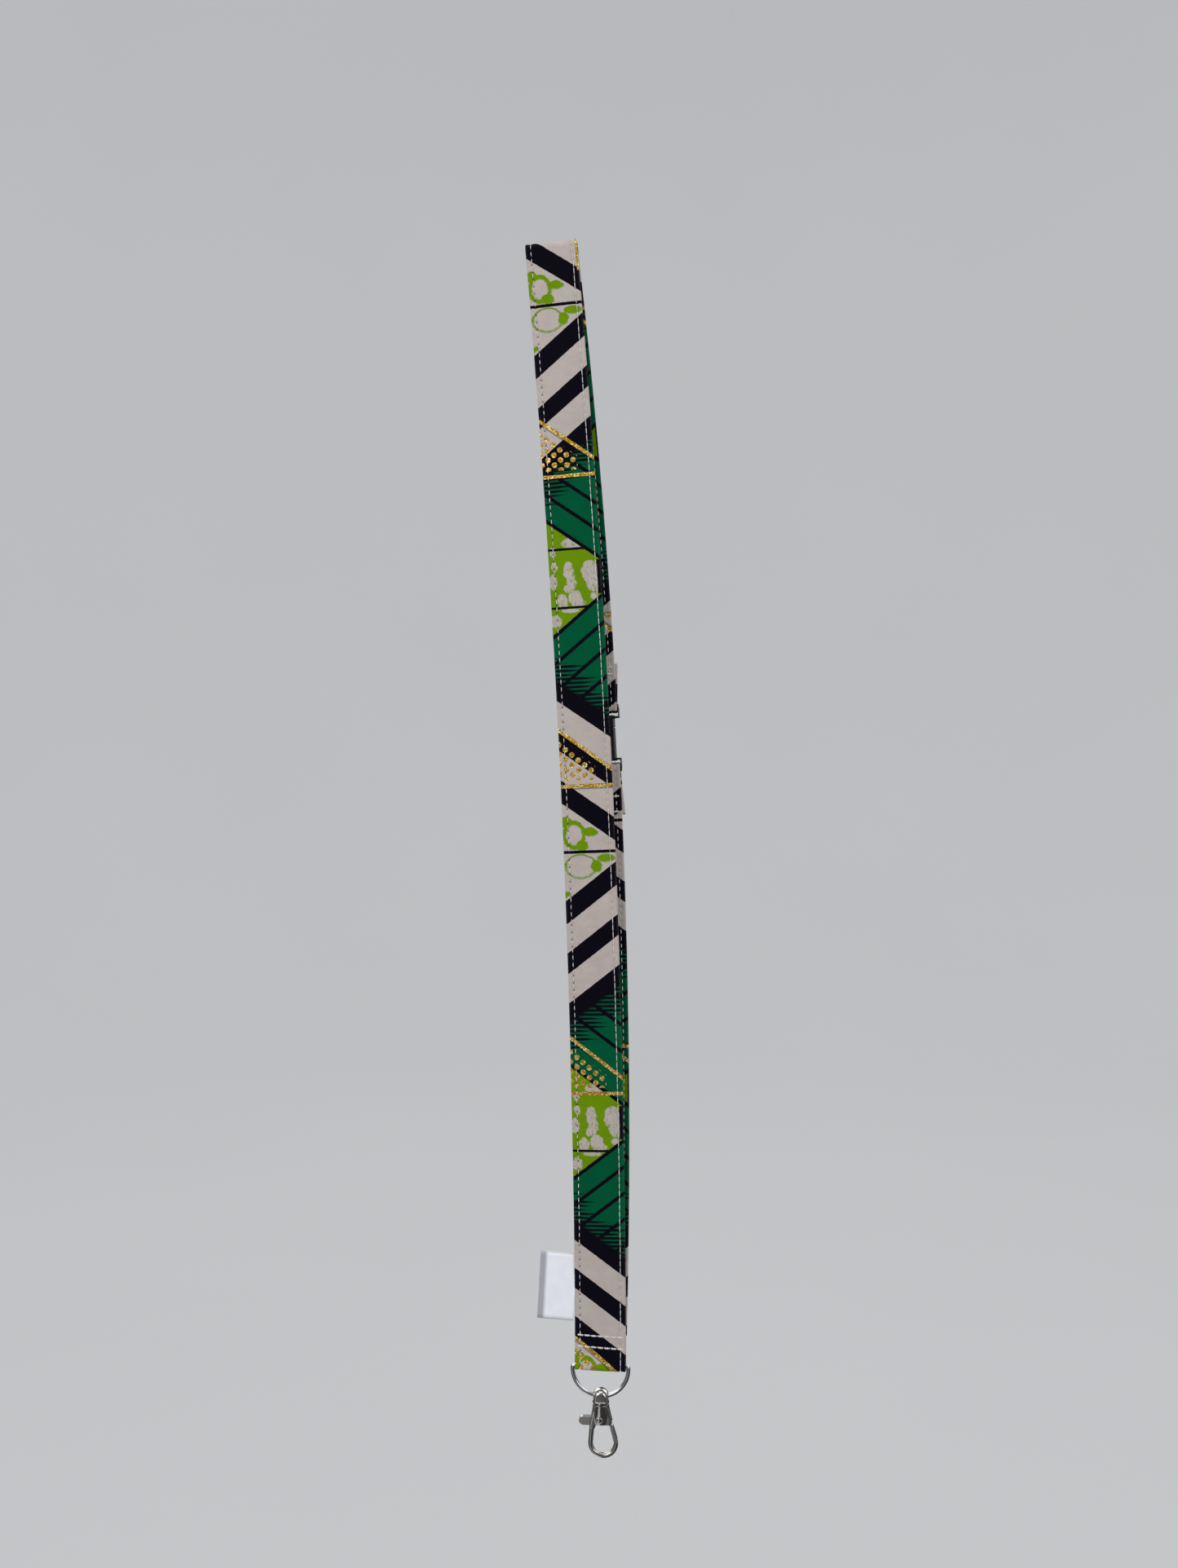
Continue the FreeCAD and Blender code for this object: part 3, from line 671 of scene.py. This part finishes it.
def cotton():
    p = Paint("printed_cotton_look")
    across, along = p.uv()
    spot = p.vector(across, along)
    edge_noise = p.noise(spot, 0.55, 3.0) - 0.5
    fine_noise = p.noise(spot, 2.6, 2.0) - 0.5
    wobble = edge_noise * 1.1 + fine_noise * 0.5

    # distance from the grey cell's middle, and the two slants
    d = (along - CELL_A).math("PINGPONG", HALF_PERIOD)
    q = d + across * SLANT + wobble * 0.5
    e = d * -1.0 + HALF_PERIOD
    w = e + across * BACK_SLANT + wobble * 0.5

    # hatching that lets the black run out into the green
    row = along.cell(HATCH_PITCH)
    in_row = abs(along.wrapped(0.0, HATCH_PITCH) / HATCH_PITCH - 0.5) * 2.0
    row_end = (p.white(p.vector(row, 3.0)) - 0.5) * 9.0 + HATCH_END
    taper = ((row_end - q) / HATCH_TAPER).math("MINIMUM", 0.62).math("MAXIMUM", -0.4)
    hatch = (in_row - taper).below(0.0, 0.3)
    solid_black = q.below(HATCH_START, 3.0).either(hatch)

    # green field with black bands of the opposite slant
    band = (w - LIME_END).wrapped(0.0, BAND_PITCH).below(BAND_W, 0.2)
    colour = p.mix(GREEN, BLACK, band * w.above(LIME_END - 0.1))
    colour = p.mix(colour, BLACK, solid_black)
    field_noise = p.noise(p.vector(across * 0.5, along), 0.35, 2.0)

    # lime cell
    signed = (along - CELL_A - HALF_PERIOD).wrapped(-HALF_PERIOD, HALF_PERIOD)
    warped = across + edge_noise * 2.6 + fine_noise * 0.8

    def ellipse(centre_across, centre_along, half_w, half_l, coordinate):
        """Squared distance from an ellipse's middle, 1 at its edge, with a rough edge."""
        dx = (warped - centre_across) / half_w
        ds = (coordinate + fine_noise * 1.8 - centre_along) / half_l
        return dx * dx + ds * ds + fine_noise * 0.7

    blob = signed.below(-999.0)
    for sizes in PALE_BLOBS:
        blob = blob.either(ellipse(*sizes, signed).below(1.0, 0.12))
    crack = abs(p.noise(p.vector(across * 1.2, along * 0.35), 0.5, 2.0) - 0.5).below(0.012, 0.01)
    blob = blob * crack.inverse()
    cell = p.mix(LIME, GREIGE, blob)
    bars = abs(e + wobble * 0.4 - 14.0).below(0.6, 0.2)
    bars = bars.either(abs(across + wobble * 0.5 - 24.4).below(1.4, 0.2) * e.below(8.2, 0.3))
    cell = p.mix(cell, BLACK, bars)
    colour = p.mix(colour, cell, w.below(LIME_END, 0.2))

    # grey cell: diagonal stripes, a thin line along its middle and lime splatter
    stripes = q.below(GREY_CORE)
    for stripe in GREY_STRIPES:
        stripes = stripes.either(q.between(*stripe))
    grey = p.mix(BLACK, GREIGE, stripes)
    from_a = (along - CELL_A).wrapped(-HALF_PERIOD, HALF_PERIOD)
    drops = signed.below(-999.0)
    for sizes in LIME_BLOBS:
        drops = drops.either(ellipse(*sizes, from_a).below(1.0, 0.15))
    for *sizes, inner, outer in LIME_RINGS:
        drops = drops.either(ellipse(*sizes, from_a).between(inner ** 2, outer ** 2, 0.12))
    drops = drops * q.below(22.4)
    grey = p.mix(grey, LIME, drops)
    grey = p.mix(grey, BLACK, abs(d + wobble * 0.3).below(0.75, 0.15))
    colour = p.mix(colour, grey, q.below(GREY_END, 0.2))

    # gold: a diagonal, rows of dots below it and a level line
    g = (along - GOLD_START).wrapped(-20.0, GOLD_PERIOD - 20.0)
    diagonal = g - across * GOLD_DROP + wobble * 0.3
    gold = abs(diagonal).below(1.05, 0.25)
    level = abs(g - GOLD_LEVEL + wobble * 0.4).below(0.85, 0.25)
    gold = gold.either(level)
    dx = across.wrapped(-DOT_PITCH[0] / 2, DOT_PITCH[0] / 2)
    rows = g - (across - dx) * 0.86 - 7.0
    ds = rows.wrapped(-DOT_PITCH[1] / 2, DOT_PITCH[1] / 2)
    dot_r = (dx * dx + ds * ds).math("SQRT") + fine_noise * 0.35
    dots = dot_r.below(DOT_R, 0.2) * diagonal.above(4.6, 0.1) * g.below(24.6, 0.1)
    dots = dots * across.below(17.0)
    shadow = abs(diagonal - 0.5).below(1.5, 0.2).either(abs(g - 27.7).below(1.2, 0.2))
    colour = p.mix(colour, BLACK, shadow * q.below(90.0) * 0.55)
    dot_core = dot_r.below(0.62, 0.25) * dots
    selvage = across.above(24.0, 0.3) * along.between(-6.0, 12.0, 0.4)
    gold = gold.either(dots).either(selvage)

    # woven ground: threads both ways, uneven dye and fibres
    warp = (across * (2 * math.pi / 0.34)).math("SINE")
    weft = (along * (2 * math.pi / 0.36)).math("SINE")
    over = ((across / 0.68).math("FLOOR") + (along / 0.72).math("FLOOR")).math("MODULO", 2.0)
    weave = warp * 0.5 + weft * 0.5 + over * 0.2
    slub = p.noise(p.vector(across * 0.25, along * 3.2), 1.6, 2.0)
    slub_up = p.noise(p.vector(across * 3.2, along * 0.25), 1.6, 2.0)
    cloudy = p.noise(spot, 0.09, 3.0)
    tone = weave * 0.035 + (slub - 0.5) * 0.22 + (slub_up - 0.5) * 0.18 + (cloudy - 0.5) * 0.22 + 1.0
    tone = tone + (field_noise - 0.5) * 0.15
    colour = p.shade(colour, tone)

    # a little wear on the folded edges, and thread shadows in the seams
    from_edge = abs(across.wrapped(0.0, 25.0) - 12.5)
    worn = from_edge.above(11.9, 0.8) * p.noise(spot, 1.3, 3.0).above(0.5, 0.3)
    colour = p.mix(colour, srgb(120, 114, 112), worn * 0.18)
    needle = abs(along.wrapped(-STITCH / 2, STITCH / 2))
    hole = (abs(from_edge - SEAM_W) * abs(from_edge - SEAM_W) + needle * needle).below(0.16, 0.14)
    colour = p.mix(colour, srgb(40, 36, 40), hole * across.below(12.0).math("MULTIPLY_ADD", 0.6, 0.1))
    seam_dip = abs(from_edge - SEAM_W).below(0.35, 0.8)
    colour = p.mix(colour, srgb(50, 46, 50), seam_dip * 0.12)

    # glitter in the gold: each flake's colour is painted brighter or darker, and the palest flecks are
    # painted sparkle highlights
    fleck = p.flakes(spot, 2.3)
    gold_colour = p.shade(p.mix(GOLD, GOLD_SPARKLE_HIGHLIGHT, fleck.above(0.8, 0.1)), fleck * 1.1 + 0.3)
    gold_colour = p.mix(gold_colour, srgb(150, 120, 40), dot_core * 0.45)
    colour = p.mix(colour, gold_colour, gold)

    height = weave * 0.5 + slub * 1.2 + slub_up * 0.9
    pucker_noise = p.noise(p.vector(across * 0.55, along * 1.5), 0.4, 2.0)
    normal = p.bump(pucker_noise * seam_dip.either(from_edge.above(9.0, 4.0)), 0.0006, 0.5)
    normal = p.bump(height, 0.00006, 0.8, normal)
    glint = p.bump(fleck * gold, 0.00025, 1.0, normal)
    return p.set(Base_Color=colour, Metallic=gold * 0.55, Roughness=gold * -0.52 + 0.86,
                 Normal=glint, Specular_IOR_Level=0.03, Sheen_Weight=0.01, Sheen_Roughness=0.5)


# ---------------------------------------------------------------- other finishes

def thread_look():
    p = Paint("thread_look")
    spot = p.place()
    fuzz = p.noise(spot, 2600.0, 3.0)
    soil = p.noise(spot, 90.0, 2.0)
    colour = p.mix(srgb(236, 233, 228), srgb(205, 201, 196), soil.above(0.45, 0.5))
    colour = p.shade(colour, fuzz * 0.25 + 0.87)
    return p.set(Base_Color=colour, Roughness=fuzz * 0.2 + 0.6, Normal=p.bump(fuzz, 0.00008, 0.7),
                 Sheen_Weight=0.3, Sheen_Roughness=0.4)


def satin_look():
    p = Paint("satin_look")
    across, along = p.uv()
    spot = p.vector(across, along)
    rib = (along * (2 * math.pi / 0.3)).math("SINE")
    float_noise = p.noise(p.vector(across * 0.15, along * 4.0), 1.8, 2.0)
    cloud = p.noise(spot, 0.12, 2.0)
    tone = rib * 0.02 + (float_noise - 0.5) * 0.10 + (cloud - 0.5) * 0.10 + 1.0
    colour = p.shade(p.mix(srgb(238, 239, 250), srgb(248, 248, 254), cloud), tone)
    # painted shade: a grey band where the label's rounded fold turns away from the light
    fold = abs(across - 17.4).below(2.6, 1.6)
    colour = p.mix(colour, srgb(120, 122, 128), fold * 0.7)
    selvage = abs(along - 16.5).above(16.0, 0.5)
    colour = p.mix(colour, srgb(196, 196, 198), selvage * 0.6)
    normal = p.bump(rib * 0.3 + float_noise, 0.00008, 0.6)
    return p.set(Base_Color=colour, Roughness=float_noise * 0.2 + 0.34, Normal=normal,
                 Sheen_Weight=0.15, Specular_IOR_Level=0.6, Anisotropic=0.4)


def plastic_look():
    p = Paint("moulded_black_look")
    spot = p.place()
    skin = p.noise(spot, 1900.0, 2.0)
    flow = p.noise(spot, 120.0, 3.0)
    scratch = abs(p.noise(spot, 420.0, 4.0, 0.7) - 0.5).below(0.012, 0.02)
    colour = p.mix(srgb(14, 14, 16), srgb(26, 26, 29), flow.above(0.5, 0.6))
    colour = p.mix(colour, srgb(86, 86, 90), scratch * 0.12)
    rough = flow * 0.1 + scratch * 0.1 + 0.24
    normal = p.bump(flow, 0.0001, 0.15)
    return p.set(Base_Color=colour, Roughness=rough, Normal=p.bump(skin, 0.00003, 0.35, normal),
                 Specular_IOR_Level=0.5, Coat_Weight=0.25, Coat_Roughness=0.2)


def metal_look(name, dark, light, rough, scratch_share):
    """Plated metal: slight clouding, fine grain and a few hairline scratches."""
    p = Paint(name)
    spot = p.place()
    cloud = p.noise(spot, 160.0, 3.0)
    fine = p.noise(spot, 1500.0, 3.0, 0.6)
    stretch = p.node("ShaderNodeMapping")
    p.link(spot, stretch.inputs["Vector"])
    stretch.inputs["Rotation"].default_value = (0.5, 0.3, 0.9)
    stretch.inputs["Scale"].default_value = (1.0, 0.12, 1.0)
    scratch = abs(p.noise(stretch.outputs[0], 900.0, 3.0, 0.6) - 0.5).below(0.006, 0.012)
    scratch = scratch * p.noise(spot, 380.0, 2.0).above(0.55, 0.1)
    colour = p.mix(dark, light, cloud)
    colour = p.mix(colour, srgb(96, 92, 88), scratch * scratch_share)
    roughness = cloud * 0.06 + fine * 0.03 + scratch * (scratch_share * 0.3) + rough
    normal = p.bump(cloud, 0.00012, 0.3)
    normal = p.bump(fine, 0.000012, 0.4, normal)
    return p.set(Base_Color=colour, Metallic=1.0, Roughness=roughness, Normal=normal)


# ---------------------------------------------------------------- the strap

upper = upper_route()
lower = lower_route(upper[-1].along)

strap_upper = ribbon("strap_front_and_top", upper)
strap_lower = ribbon("strap_back_lower", lower)
cotton_look = cotton()
for band_obj in (strap_upper, strap_lower):
    band_obj.data.materials.append(cotton_look)
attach(strap_upper, "strap")
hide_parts("strap_front_run", "strap_top_fold", "strap_back_upper_run",
            "strap_ring_loop", "strap_upper_end_loop", "interfacing_front_run",
            "interfacing_top_fold", "interfacing_back_upper_run", "interfacing_back_lower_run",
            "interfacing_ring_loop")
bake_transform(strap_lower)
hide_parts("strap_back_lower_run", "strap_lower_end_loop")

upper_length = (upper[-1].along - upper[0].along) * MM
lower_length = (lower[-1].along - lower[0].along) * MM

stitch_upper = topstitching("topstitch_upper", upper)
stitch_lower = topstitching("topstitch_back_lower", lower)
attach(stitch_upper, "strap")
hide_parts("topstitch_left", "topstitch_right")
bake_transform(stitch_lower)

# Heavy rows: on the ring's loop the front ply's outer face and the back ply's, at the buckle
# the face of each doubled ply that shows from the front and from the back.
# Name, node it stands for, body, and the rows as (strap, length along it, face, slant).
ROWS = [
    ("ring_loop_rows", "ring_loop_stitches", "strap", [
        (upper, along_of(upper, RING_ROWS_Z[0], after=0), 1, 0.03),
        (upper, along_of(upper, RING_ROWS_Z[1], after=0), 1, 0.04),
        (upper, upper[-1].along - 0.4, 1, 0.0),
        (upper, along_of(upper, RING_ROWS_Z[1], after=upper[-1].along - 9), 1, 0.008),
    ]),
    ("upper_end_rows", "upper_end_stitches", "strap", [
        (upper, along_of(upper, z, before=upper[0].along + 18), -1, 0.005) for z in UPPER_ROWS_Z
    ] + [
        (upper, along_of(upper, z, after=upper[0].along + 40, before=-90), -1, 0.005)
        for z in UPPER_ROWS_Z
    ]),
    ("lower_end_rows", "lower_end_stitches", "release_half", [
        (lower, along_of(lower, z, before=lower[-1].along - 30), -1, 0.006) for z in LOWER_ROWS_Z
    ] + [
        (lower, along_of(lower, z, after=lower[-1].along - 20), -1, 0.006) for z in LOWER_ROWS_Z
    ]),
]
thread = thread_look()
for name, node, body, rows in ROWS:
    row_verts = []
    row_faces = []
    for line, along, face, slant in rows:
        twisted_row(row_verts, row_faces, line, along, face, slant)
    row_obj = new_object(name, row_verts, row_faces)
    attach(row_obj, body)
    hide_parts(node)
    row_obj.data.materials.append(thread)
for stitch_obj in (stitch_upper, stitch_lower):
    stitch_obj.data.materials.append(thread)


# ---------------------------------------------------------------- label

LABEL_H = 33.0
LABEL_REACH = 17.6
LABEL_TOP_Z = -487.0
LABEL_TILT = math.radians(4.0)
LABEL_PLY = 0.22              # middle of each ply from the tag's own middle
LABEL_HALF_T = 0.09
LABEL_TUCK = 0.3              # how far it starts inside the strap's edge


def label_route():
    """(reach, y) points of the label's plies: out from the seam, round the fold and back."""
    steps = 20
    route = []
    for k in range(steps + 1):
        route.append((LABEL_REACH * k / steps - LABEL_TUCK, -LABEL_PLY))
    for k in range(1, 8):
        angle = math.pi * (k / 8 - 0.5)
        route.append((LABEL_REACH - LABEL_TUCK + LABEL_PLY * math.cos(angle),
                      LABEL_PLY * math.sin(angle)))
    for k in range(steps + 1):
        route.append((LABEL_REACH * (1 - k / steps) - LABEL_TUCK, LABEL_PLY))
    return route


def label_tag():
    """Satin ribbon folded once, tilted, with its free edge curling a little."""
    z_mid = LABEL_TOP_Z - LABEL_H / 2
    edge = at_along(upper, along_of(upper, z_mid, after=0))[0]
    edge_x = edge.x - STRAP_W / 2
    route = label_route()
    rows = 16
    verts = []
    uvs_of = []
    length = 0.0
    for i, (reach, y) in enumerate(route):
        if i:
            length += math.dist(route[i - 1], route[i])
        a = route[max(i - 1, 0)]
        b = route[min(i + 1, len(route) - 1)]
        run = Vector((b[0] - a[0], b[1] - a[1])).normalized()
        for layer in (-1, 1):
            for j in range(rows + 1):
                up = LABEL_H * (j / rows - 0.5)
                free = max(reach, 0.0) / LABEL_REACH
                curl = 0.28 * free * free * math.sin(1.1 + 0.085 * up)
                open_up = 1.0 + 0.5 * free * (abs(up) / 16.5) ** 2
                x = reach - run.y * layer * -LABEL_HALF_T
                yy = y * open_up - run.x * layer * LABEL_HALF_T + curl
                tilt_x = -x * math.cos(LABEL_TILT) + up * math.sin(LABEL_TILT)
                tilt_z = up * math.cos(LABEL_TILT) + x * math.sin(LABEL_TILT)
                verts.append((edge_x + tilt_x, edge.y + yy, z_mid + tilt_z))
                uvs_of.append((length * MM, (up + LABEL_H / 2) * MM))
    faces = []
    block = rows + 1
    for i in range(len(route) - 1):
        for layer in (0, 1):
            for j in range(rows):
                a = (i * 2 + layer) * block + j
                b = ((i + 1) * 2 + layer) * block + j
                faces.append((a, a + 1, b + 1, b) if layer else (a, b, b + 1, a + 1))
        for j, flip in ((0, False), (rows, True)):
            a = i * 2 * block + j
            c = a + block
            b = (i + 1) * 2 * block + j
            quad = (a, c, b + block, b)
            faces.append(quad[::-1] if flip else quad)
    for i, flip in ((0, True), (len(route) - 1, False)):
        for j in range(rows):
            a = i * 2 * block + j
            quad = (a, a + block, a + block + 1, a + 1)
            faces.append(quad if flip else quad[::-1])
    obj = new_object("label_tag", verts, faces)
    put_uv(obj, [uvs_of[loop.vertex_index] for loop in obj.data.loops])
    return obj, length * MM


label, label_length = label_tag()
label.data.materials.append(satin_look())
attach(label, "strap")
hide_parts("side_label")


# ---------------------------------------------------------------- hard parts

def spring_coil():
    """Small round-wire spring in the lever's slot."""
    low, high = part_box("gate_spring")
    centre = (low + high) / 2 / MM
    height = (high.z - low.z) / MM
    wire_r = 0.13
    coil_r = (high.x - low.x) / MM / 2 - wire_r
    turns = 5
    count = turns * 20
    points = []
    for k in range(count + 1):
        angle = 2 * math.pi * turns * k / count
        z = centre.z + (height - 2 * wire_r) * (k / count - 0.5)
        points.append(Vector((centre.x + coil_r * math.cos(angle),
                              centre.y + coil_r * math.sin(angle), z)))
    verts = []
    faces = []
    tube(verts, faces, points, [wire_r] * len(points), Vector((0, 0, 1)), 8)
    return new_object("spring_coil", verts, faces)


spring = spring_coil()
spring_look = metal_look("spring_look", srgb(120, 118, 116), srgb(160, 158, 154), 0.3, 0.3)
spring.data.materials.append(spring_look)
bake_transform(spring)
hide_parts("gate_spring")

plastic = plastic_look()
chrome = metal_look("chrome_look", srgb(196, 197, 200), srgb(214, 214, 216), 0.07, 0.25)
nickel = metal_look("nickel_look", srgb(178, 174, 168), srgb(200, 196, 190), 0.12, 0.3)
satin_nickel = metal_look("lever_look", srgb(172, 168, 162), srgb(198, 194, 188), 0.22, 0.35)


def softened(node, voxel, passes):
    """The node's own shape with its edges rounded, as moulded and cast parts have them."""
    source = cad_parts[node]
    piece = bpy.data.objects.new(node + "_finish", source.data.copy())
    bpy.context.scene.collection.objects.link(piece)
    remesh = piece.modifiers.new("cells", "REMESH")
    remesh.mode = "VOXEL"
    remesh.voxel_size = voxel * MM
    smooth = piece.modifiers.new("round", "SMOOTH")
    smooth.factor = 0.5
    smooth.iterations = passes
    bpy.context.view_layer.update()
    seen = piece.evaluated_get(bpy.context.evaluated_depsgraph_get())
    mesh = bpy.data.meshes.new_from_object(seen)
    mesh.name = node + "_finish"
    piece.modifiers.clear()
    piece.data = mesh
    mesh.materials.clear()
    mesh.polygons.foreach_set("use_smooth", [True] * len(mesh.polygons))
    return piece


def domed_rivet():
    """Rivet with low domed heads, turned about its own axis."""
    low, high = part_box("gate_rivet")
    centre = (low + high) / 2 / MM
    half = (high.y - low.y) / MM / 2
    profile = [(0.0, half + 0.12), (0.45, half + 0.1), (0.85, half + 0.02), (1.12, half - 0.1),
               (1.3, half - 0.24), (1.35, half - 0.34), (1.3, half - 0.4), (0.78, half - 0.42)]
    profile += [(r, -y) for r, y in profile[::-1]]
    sides = 40
    verts = []
    for r, y in profile[1:-1]:
        for k in range(sides):
            angle = 2 * math.pi * k / sides
            verts.append((centre.x + r * math.cos(angle), centre.y + y, centre.z + r * math.sin(angle)))
    faces = []
    skin(faces, 0, len(profile) - 2, sides)
    for i, flip in ((0, False), (len(profile) - 3, True)):
        verts.append((centre.x, centre.y + profile[0 if i == 0 else -1][1], centre.z))
        tip = len(verts) - 1
        for k in range(sides):
            m = (k + 1) % sides
            faces.append((tip, i * sides + m, i * sides + k) if not flip
                         else (tip, i * sides + k, i * sides + m))
    return new_object("gate_rivet_finish", verts, faces)


# node: body, slot, look, voxel size and smoothing passes
HARD_PARTS = {
    "buckle_plug": ("strap", "black_plastic", plastic, 0.22, 4),
    "buckle_socket": ("release_half", "black_plastic", plastic, 0.22, 4),
    "swivel_eye": ("eye", "clasp_nickel", nickel, 0.12, 8),
    "clasp_body": ("clasp", "clasp_nickel", nickel, 0.12, 12),
    "gate_lever": ("gate", "lever_nickel", satin_nickel, 0.1, 6),
}
for node, (body, slot, finish, voxel, passes) in HARD_PARTS.items():
    piece = softened(node, voxel, passes)
    piece.data.materials.append(finish)
    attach(piece, body)
    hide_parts(node)

rivet = domed_rivet()
rivet.data.materials.append(nickel)
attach(rivet, "clasp")
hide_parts("gate_rivet")

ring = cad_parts["d_ring"]
ring.data.materials.clear()
ring.data.materials.append(chrome)


# ---------------------------------------------------------------- room, light and camera

def backdrop():
    """Pale round floor whose rim curves up into a wall, alike from every side."""
    floor_z = -760.0
    flat = 1500.0             # radius of the flat floor
    bend = 900.0              # radius of the curve between floor and wall
    top_z = 9000.0
    turns = 96
    profile = [(flat / 2, floor_z)]
    for k in range(17):
        angle = math.pi / 2 * k / 16
        profile.append((flat + bend * math.sin(angle), floor_z + bend * (1 - math.cos(angle))))
    profile.append((flat + bend, top_z))
    verts = []
    for radius, z in profile:
        for turn in range(turns):
            angle = 2 * math.pi * turn / turns
            verts.append((radius * math.cos(angle), radius * math.sin(angle), z))
    faces = [tuple(range(turns))]
    for ring in range(len(profile) - 1):
        for turn in range(turns):
            here = ring * turns + turn
            beside = ring * turns + (turn + 1) % turns
            faces.append((here, here + turns, beside + turns, beside))
    return new_object("backdrop", verts, faces)


stage = backdrop()
room = Paint("pale_room")
room_spot = room.place()
room_tone = room.noise(room_spot, 3.0, 2.0) * 0.04 + 0.98
stage.data.materials.append(room.set(
    Base_Color=room.shade(room.mix(srgb(208, 208, 209), srgb(214, 213, 212), 0.5), room_tone),
    Roughness=0.9, Specular_IOR_Level=0.1,
    Emission_Color=(0.9, 0.92, 0.95, 1.0), Emission_Strength=0.17))
# The backdrop is only seen: it casts no shadow and no light, and metal reflects the world.
stage.visible_glossy = False
stage.visible_diffuse = False
stage.visible_shadow = False


def soft_light(name, place, size, power, colour=(1.0, 1.0, 1.0), on_stage=False):
    """Lamp aimed at the strap. Unless it is on_stage it leaves the backdrop alone, so no edge of
    its beam shows there."""
    lamp = bpy.data.lights.new(name, "AREA")
    lamp.shape = "RECTANGLE"
    lamp.size, lamp.size_y = size
    lamp.energy = power
    lamp.color = colour
    obj = bpy.data.objects.new(name, lamp)
    bpy.context.scene.collection.objects.link(obj)
    obj.location = place
    obj.rotation_euler = (AIM - Vector(place)).to_track_quat("-Z", "Y").to_euler()
    obj.visible_camera = False
    if on_stage:
        return
    unlit = bpy.data.collections.new(name + "_leaves_unlit")
    unlit.objects.link(stage)
    obj.light_linking.receiver_collection = unlit
    unlit.collection_objects[0].light_linking.link_state = "EXCLUDE"


AIM = Vector((0.015, 0.0, -0.28))
soft_light("window", (-1.25, -1.1, 0.55), (1.1, 1.5), 16.0, (1.0, 0.99, 0.98))
soft_light("fill", (1.3, -0.9, 0.1), (0.9, 1.4), 7.0, (0.98, 0.99, 1.0))
soft_light("top", (0.1, -0.1, 1.3), (1.2, 1.2), 6.0, on_stage=True)
soft_light("back_left", (-1.0, 1.3, 0.3), (1.2, 1.5), 10.0)
soft_light("back_right", (1.2, 1.2, 0.4), (1.2, 1.5), 10.0)

AMBIENT = 0.55                # the world's strength for everything but reflections


def studio_world():
    """Even pale light. Glossy rays find a dim room with a bright strip, paler above and to the sides."""
    world = bpy.data.worlds.new("studio")
    bpy.context.scene.world = world
    world.use_nodes = True
    tree = world.node_tree
    background = tree.nodes["Background"]
    way = tree.nodes.new("ShaderNodeTexCoord")
    split = tree.nodes.new("ShaderNodeSeparateXYZ")
    tree.links.new(way.outputs["Generated"], split.inputs[0])
    x = Field(tree, split.outputs[0])
    z = Field(tree, split.outputs[2])
    above = z.math("MULTIPLY_ADD", 1.6, -0.3, clamp=True)
    sides = abs(x).math("MULTIPLY_ADD", 1.5, -0.95, clamp=True)
    stripe = abs(x + 0.25).below(0.13, 0.10)
    dim = above * 0.45 + sides * 0.35 + stripe * 0.75 + 0.05
    rays = tree.nodes.new("ShaderNodeLightPath")
    glossy = Field(tree, rays.outputs["Is Glossy Ray"])
    strength = dim * glossy + glossy.inverse() * AMBIENT
    tree.links.new(strength.socket, background.inputs["Strength"])
    background.inputs["Color"].default_value = (0.90, 0.92, 0.95, 1.0)


studio_world()

bpy.context.scene.view_settings.view_transform = "Standard"

CAMERA_PLACE = Vector((0.0600, -0.5856, -0.2470))
AZIMUTH = math.radians(-4.44)
ELEVATION = math.radians(1.02)
ROLL = math.radians(-0.747)
SENSOR = 36.0                       # along the picture's long side
FOCAL_SHARE = 1483.0 / 1924.0       # focal length as a share of the long side

look = Vector((math.sin(AZIMUTH) * math.cos(ELEVATION), math.cos(AZIMUTH) * math.cos(ELEVATION),
               -math.sin(ELEVATION)))
level_right = Vector((math.cos(AZIMUTH), -math.sin(AZIMUTH), 0))
level_up = level_right.cross(look)
right = level_right * math.cos(ROLL) + level_up * math.sin(ROLL)
up = level_up * math.cos(ROLL) - level_right * math.sin(ROLL)

camera_data = bpy.data.cameras.new("camera")
camera_data.sensor_width = SENSOR
camera_data.lens = FOCAL_SHARE * SENSOR
camera_data.clip_start = 0.01
camera = bpy.data.objects.new("camera", camera_data)
bpy.context.scene.collection.objects.link(camera)
turn = Matrix((right, up, -look)).transposed().to_4x4()
camera.matrix_world = Matrix.Translation(CAMERA_PLACE) @ turn
bpy.context.scene.camera = camera
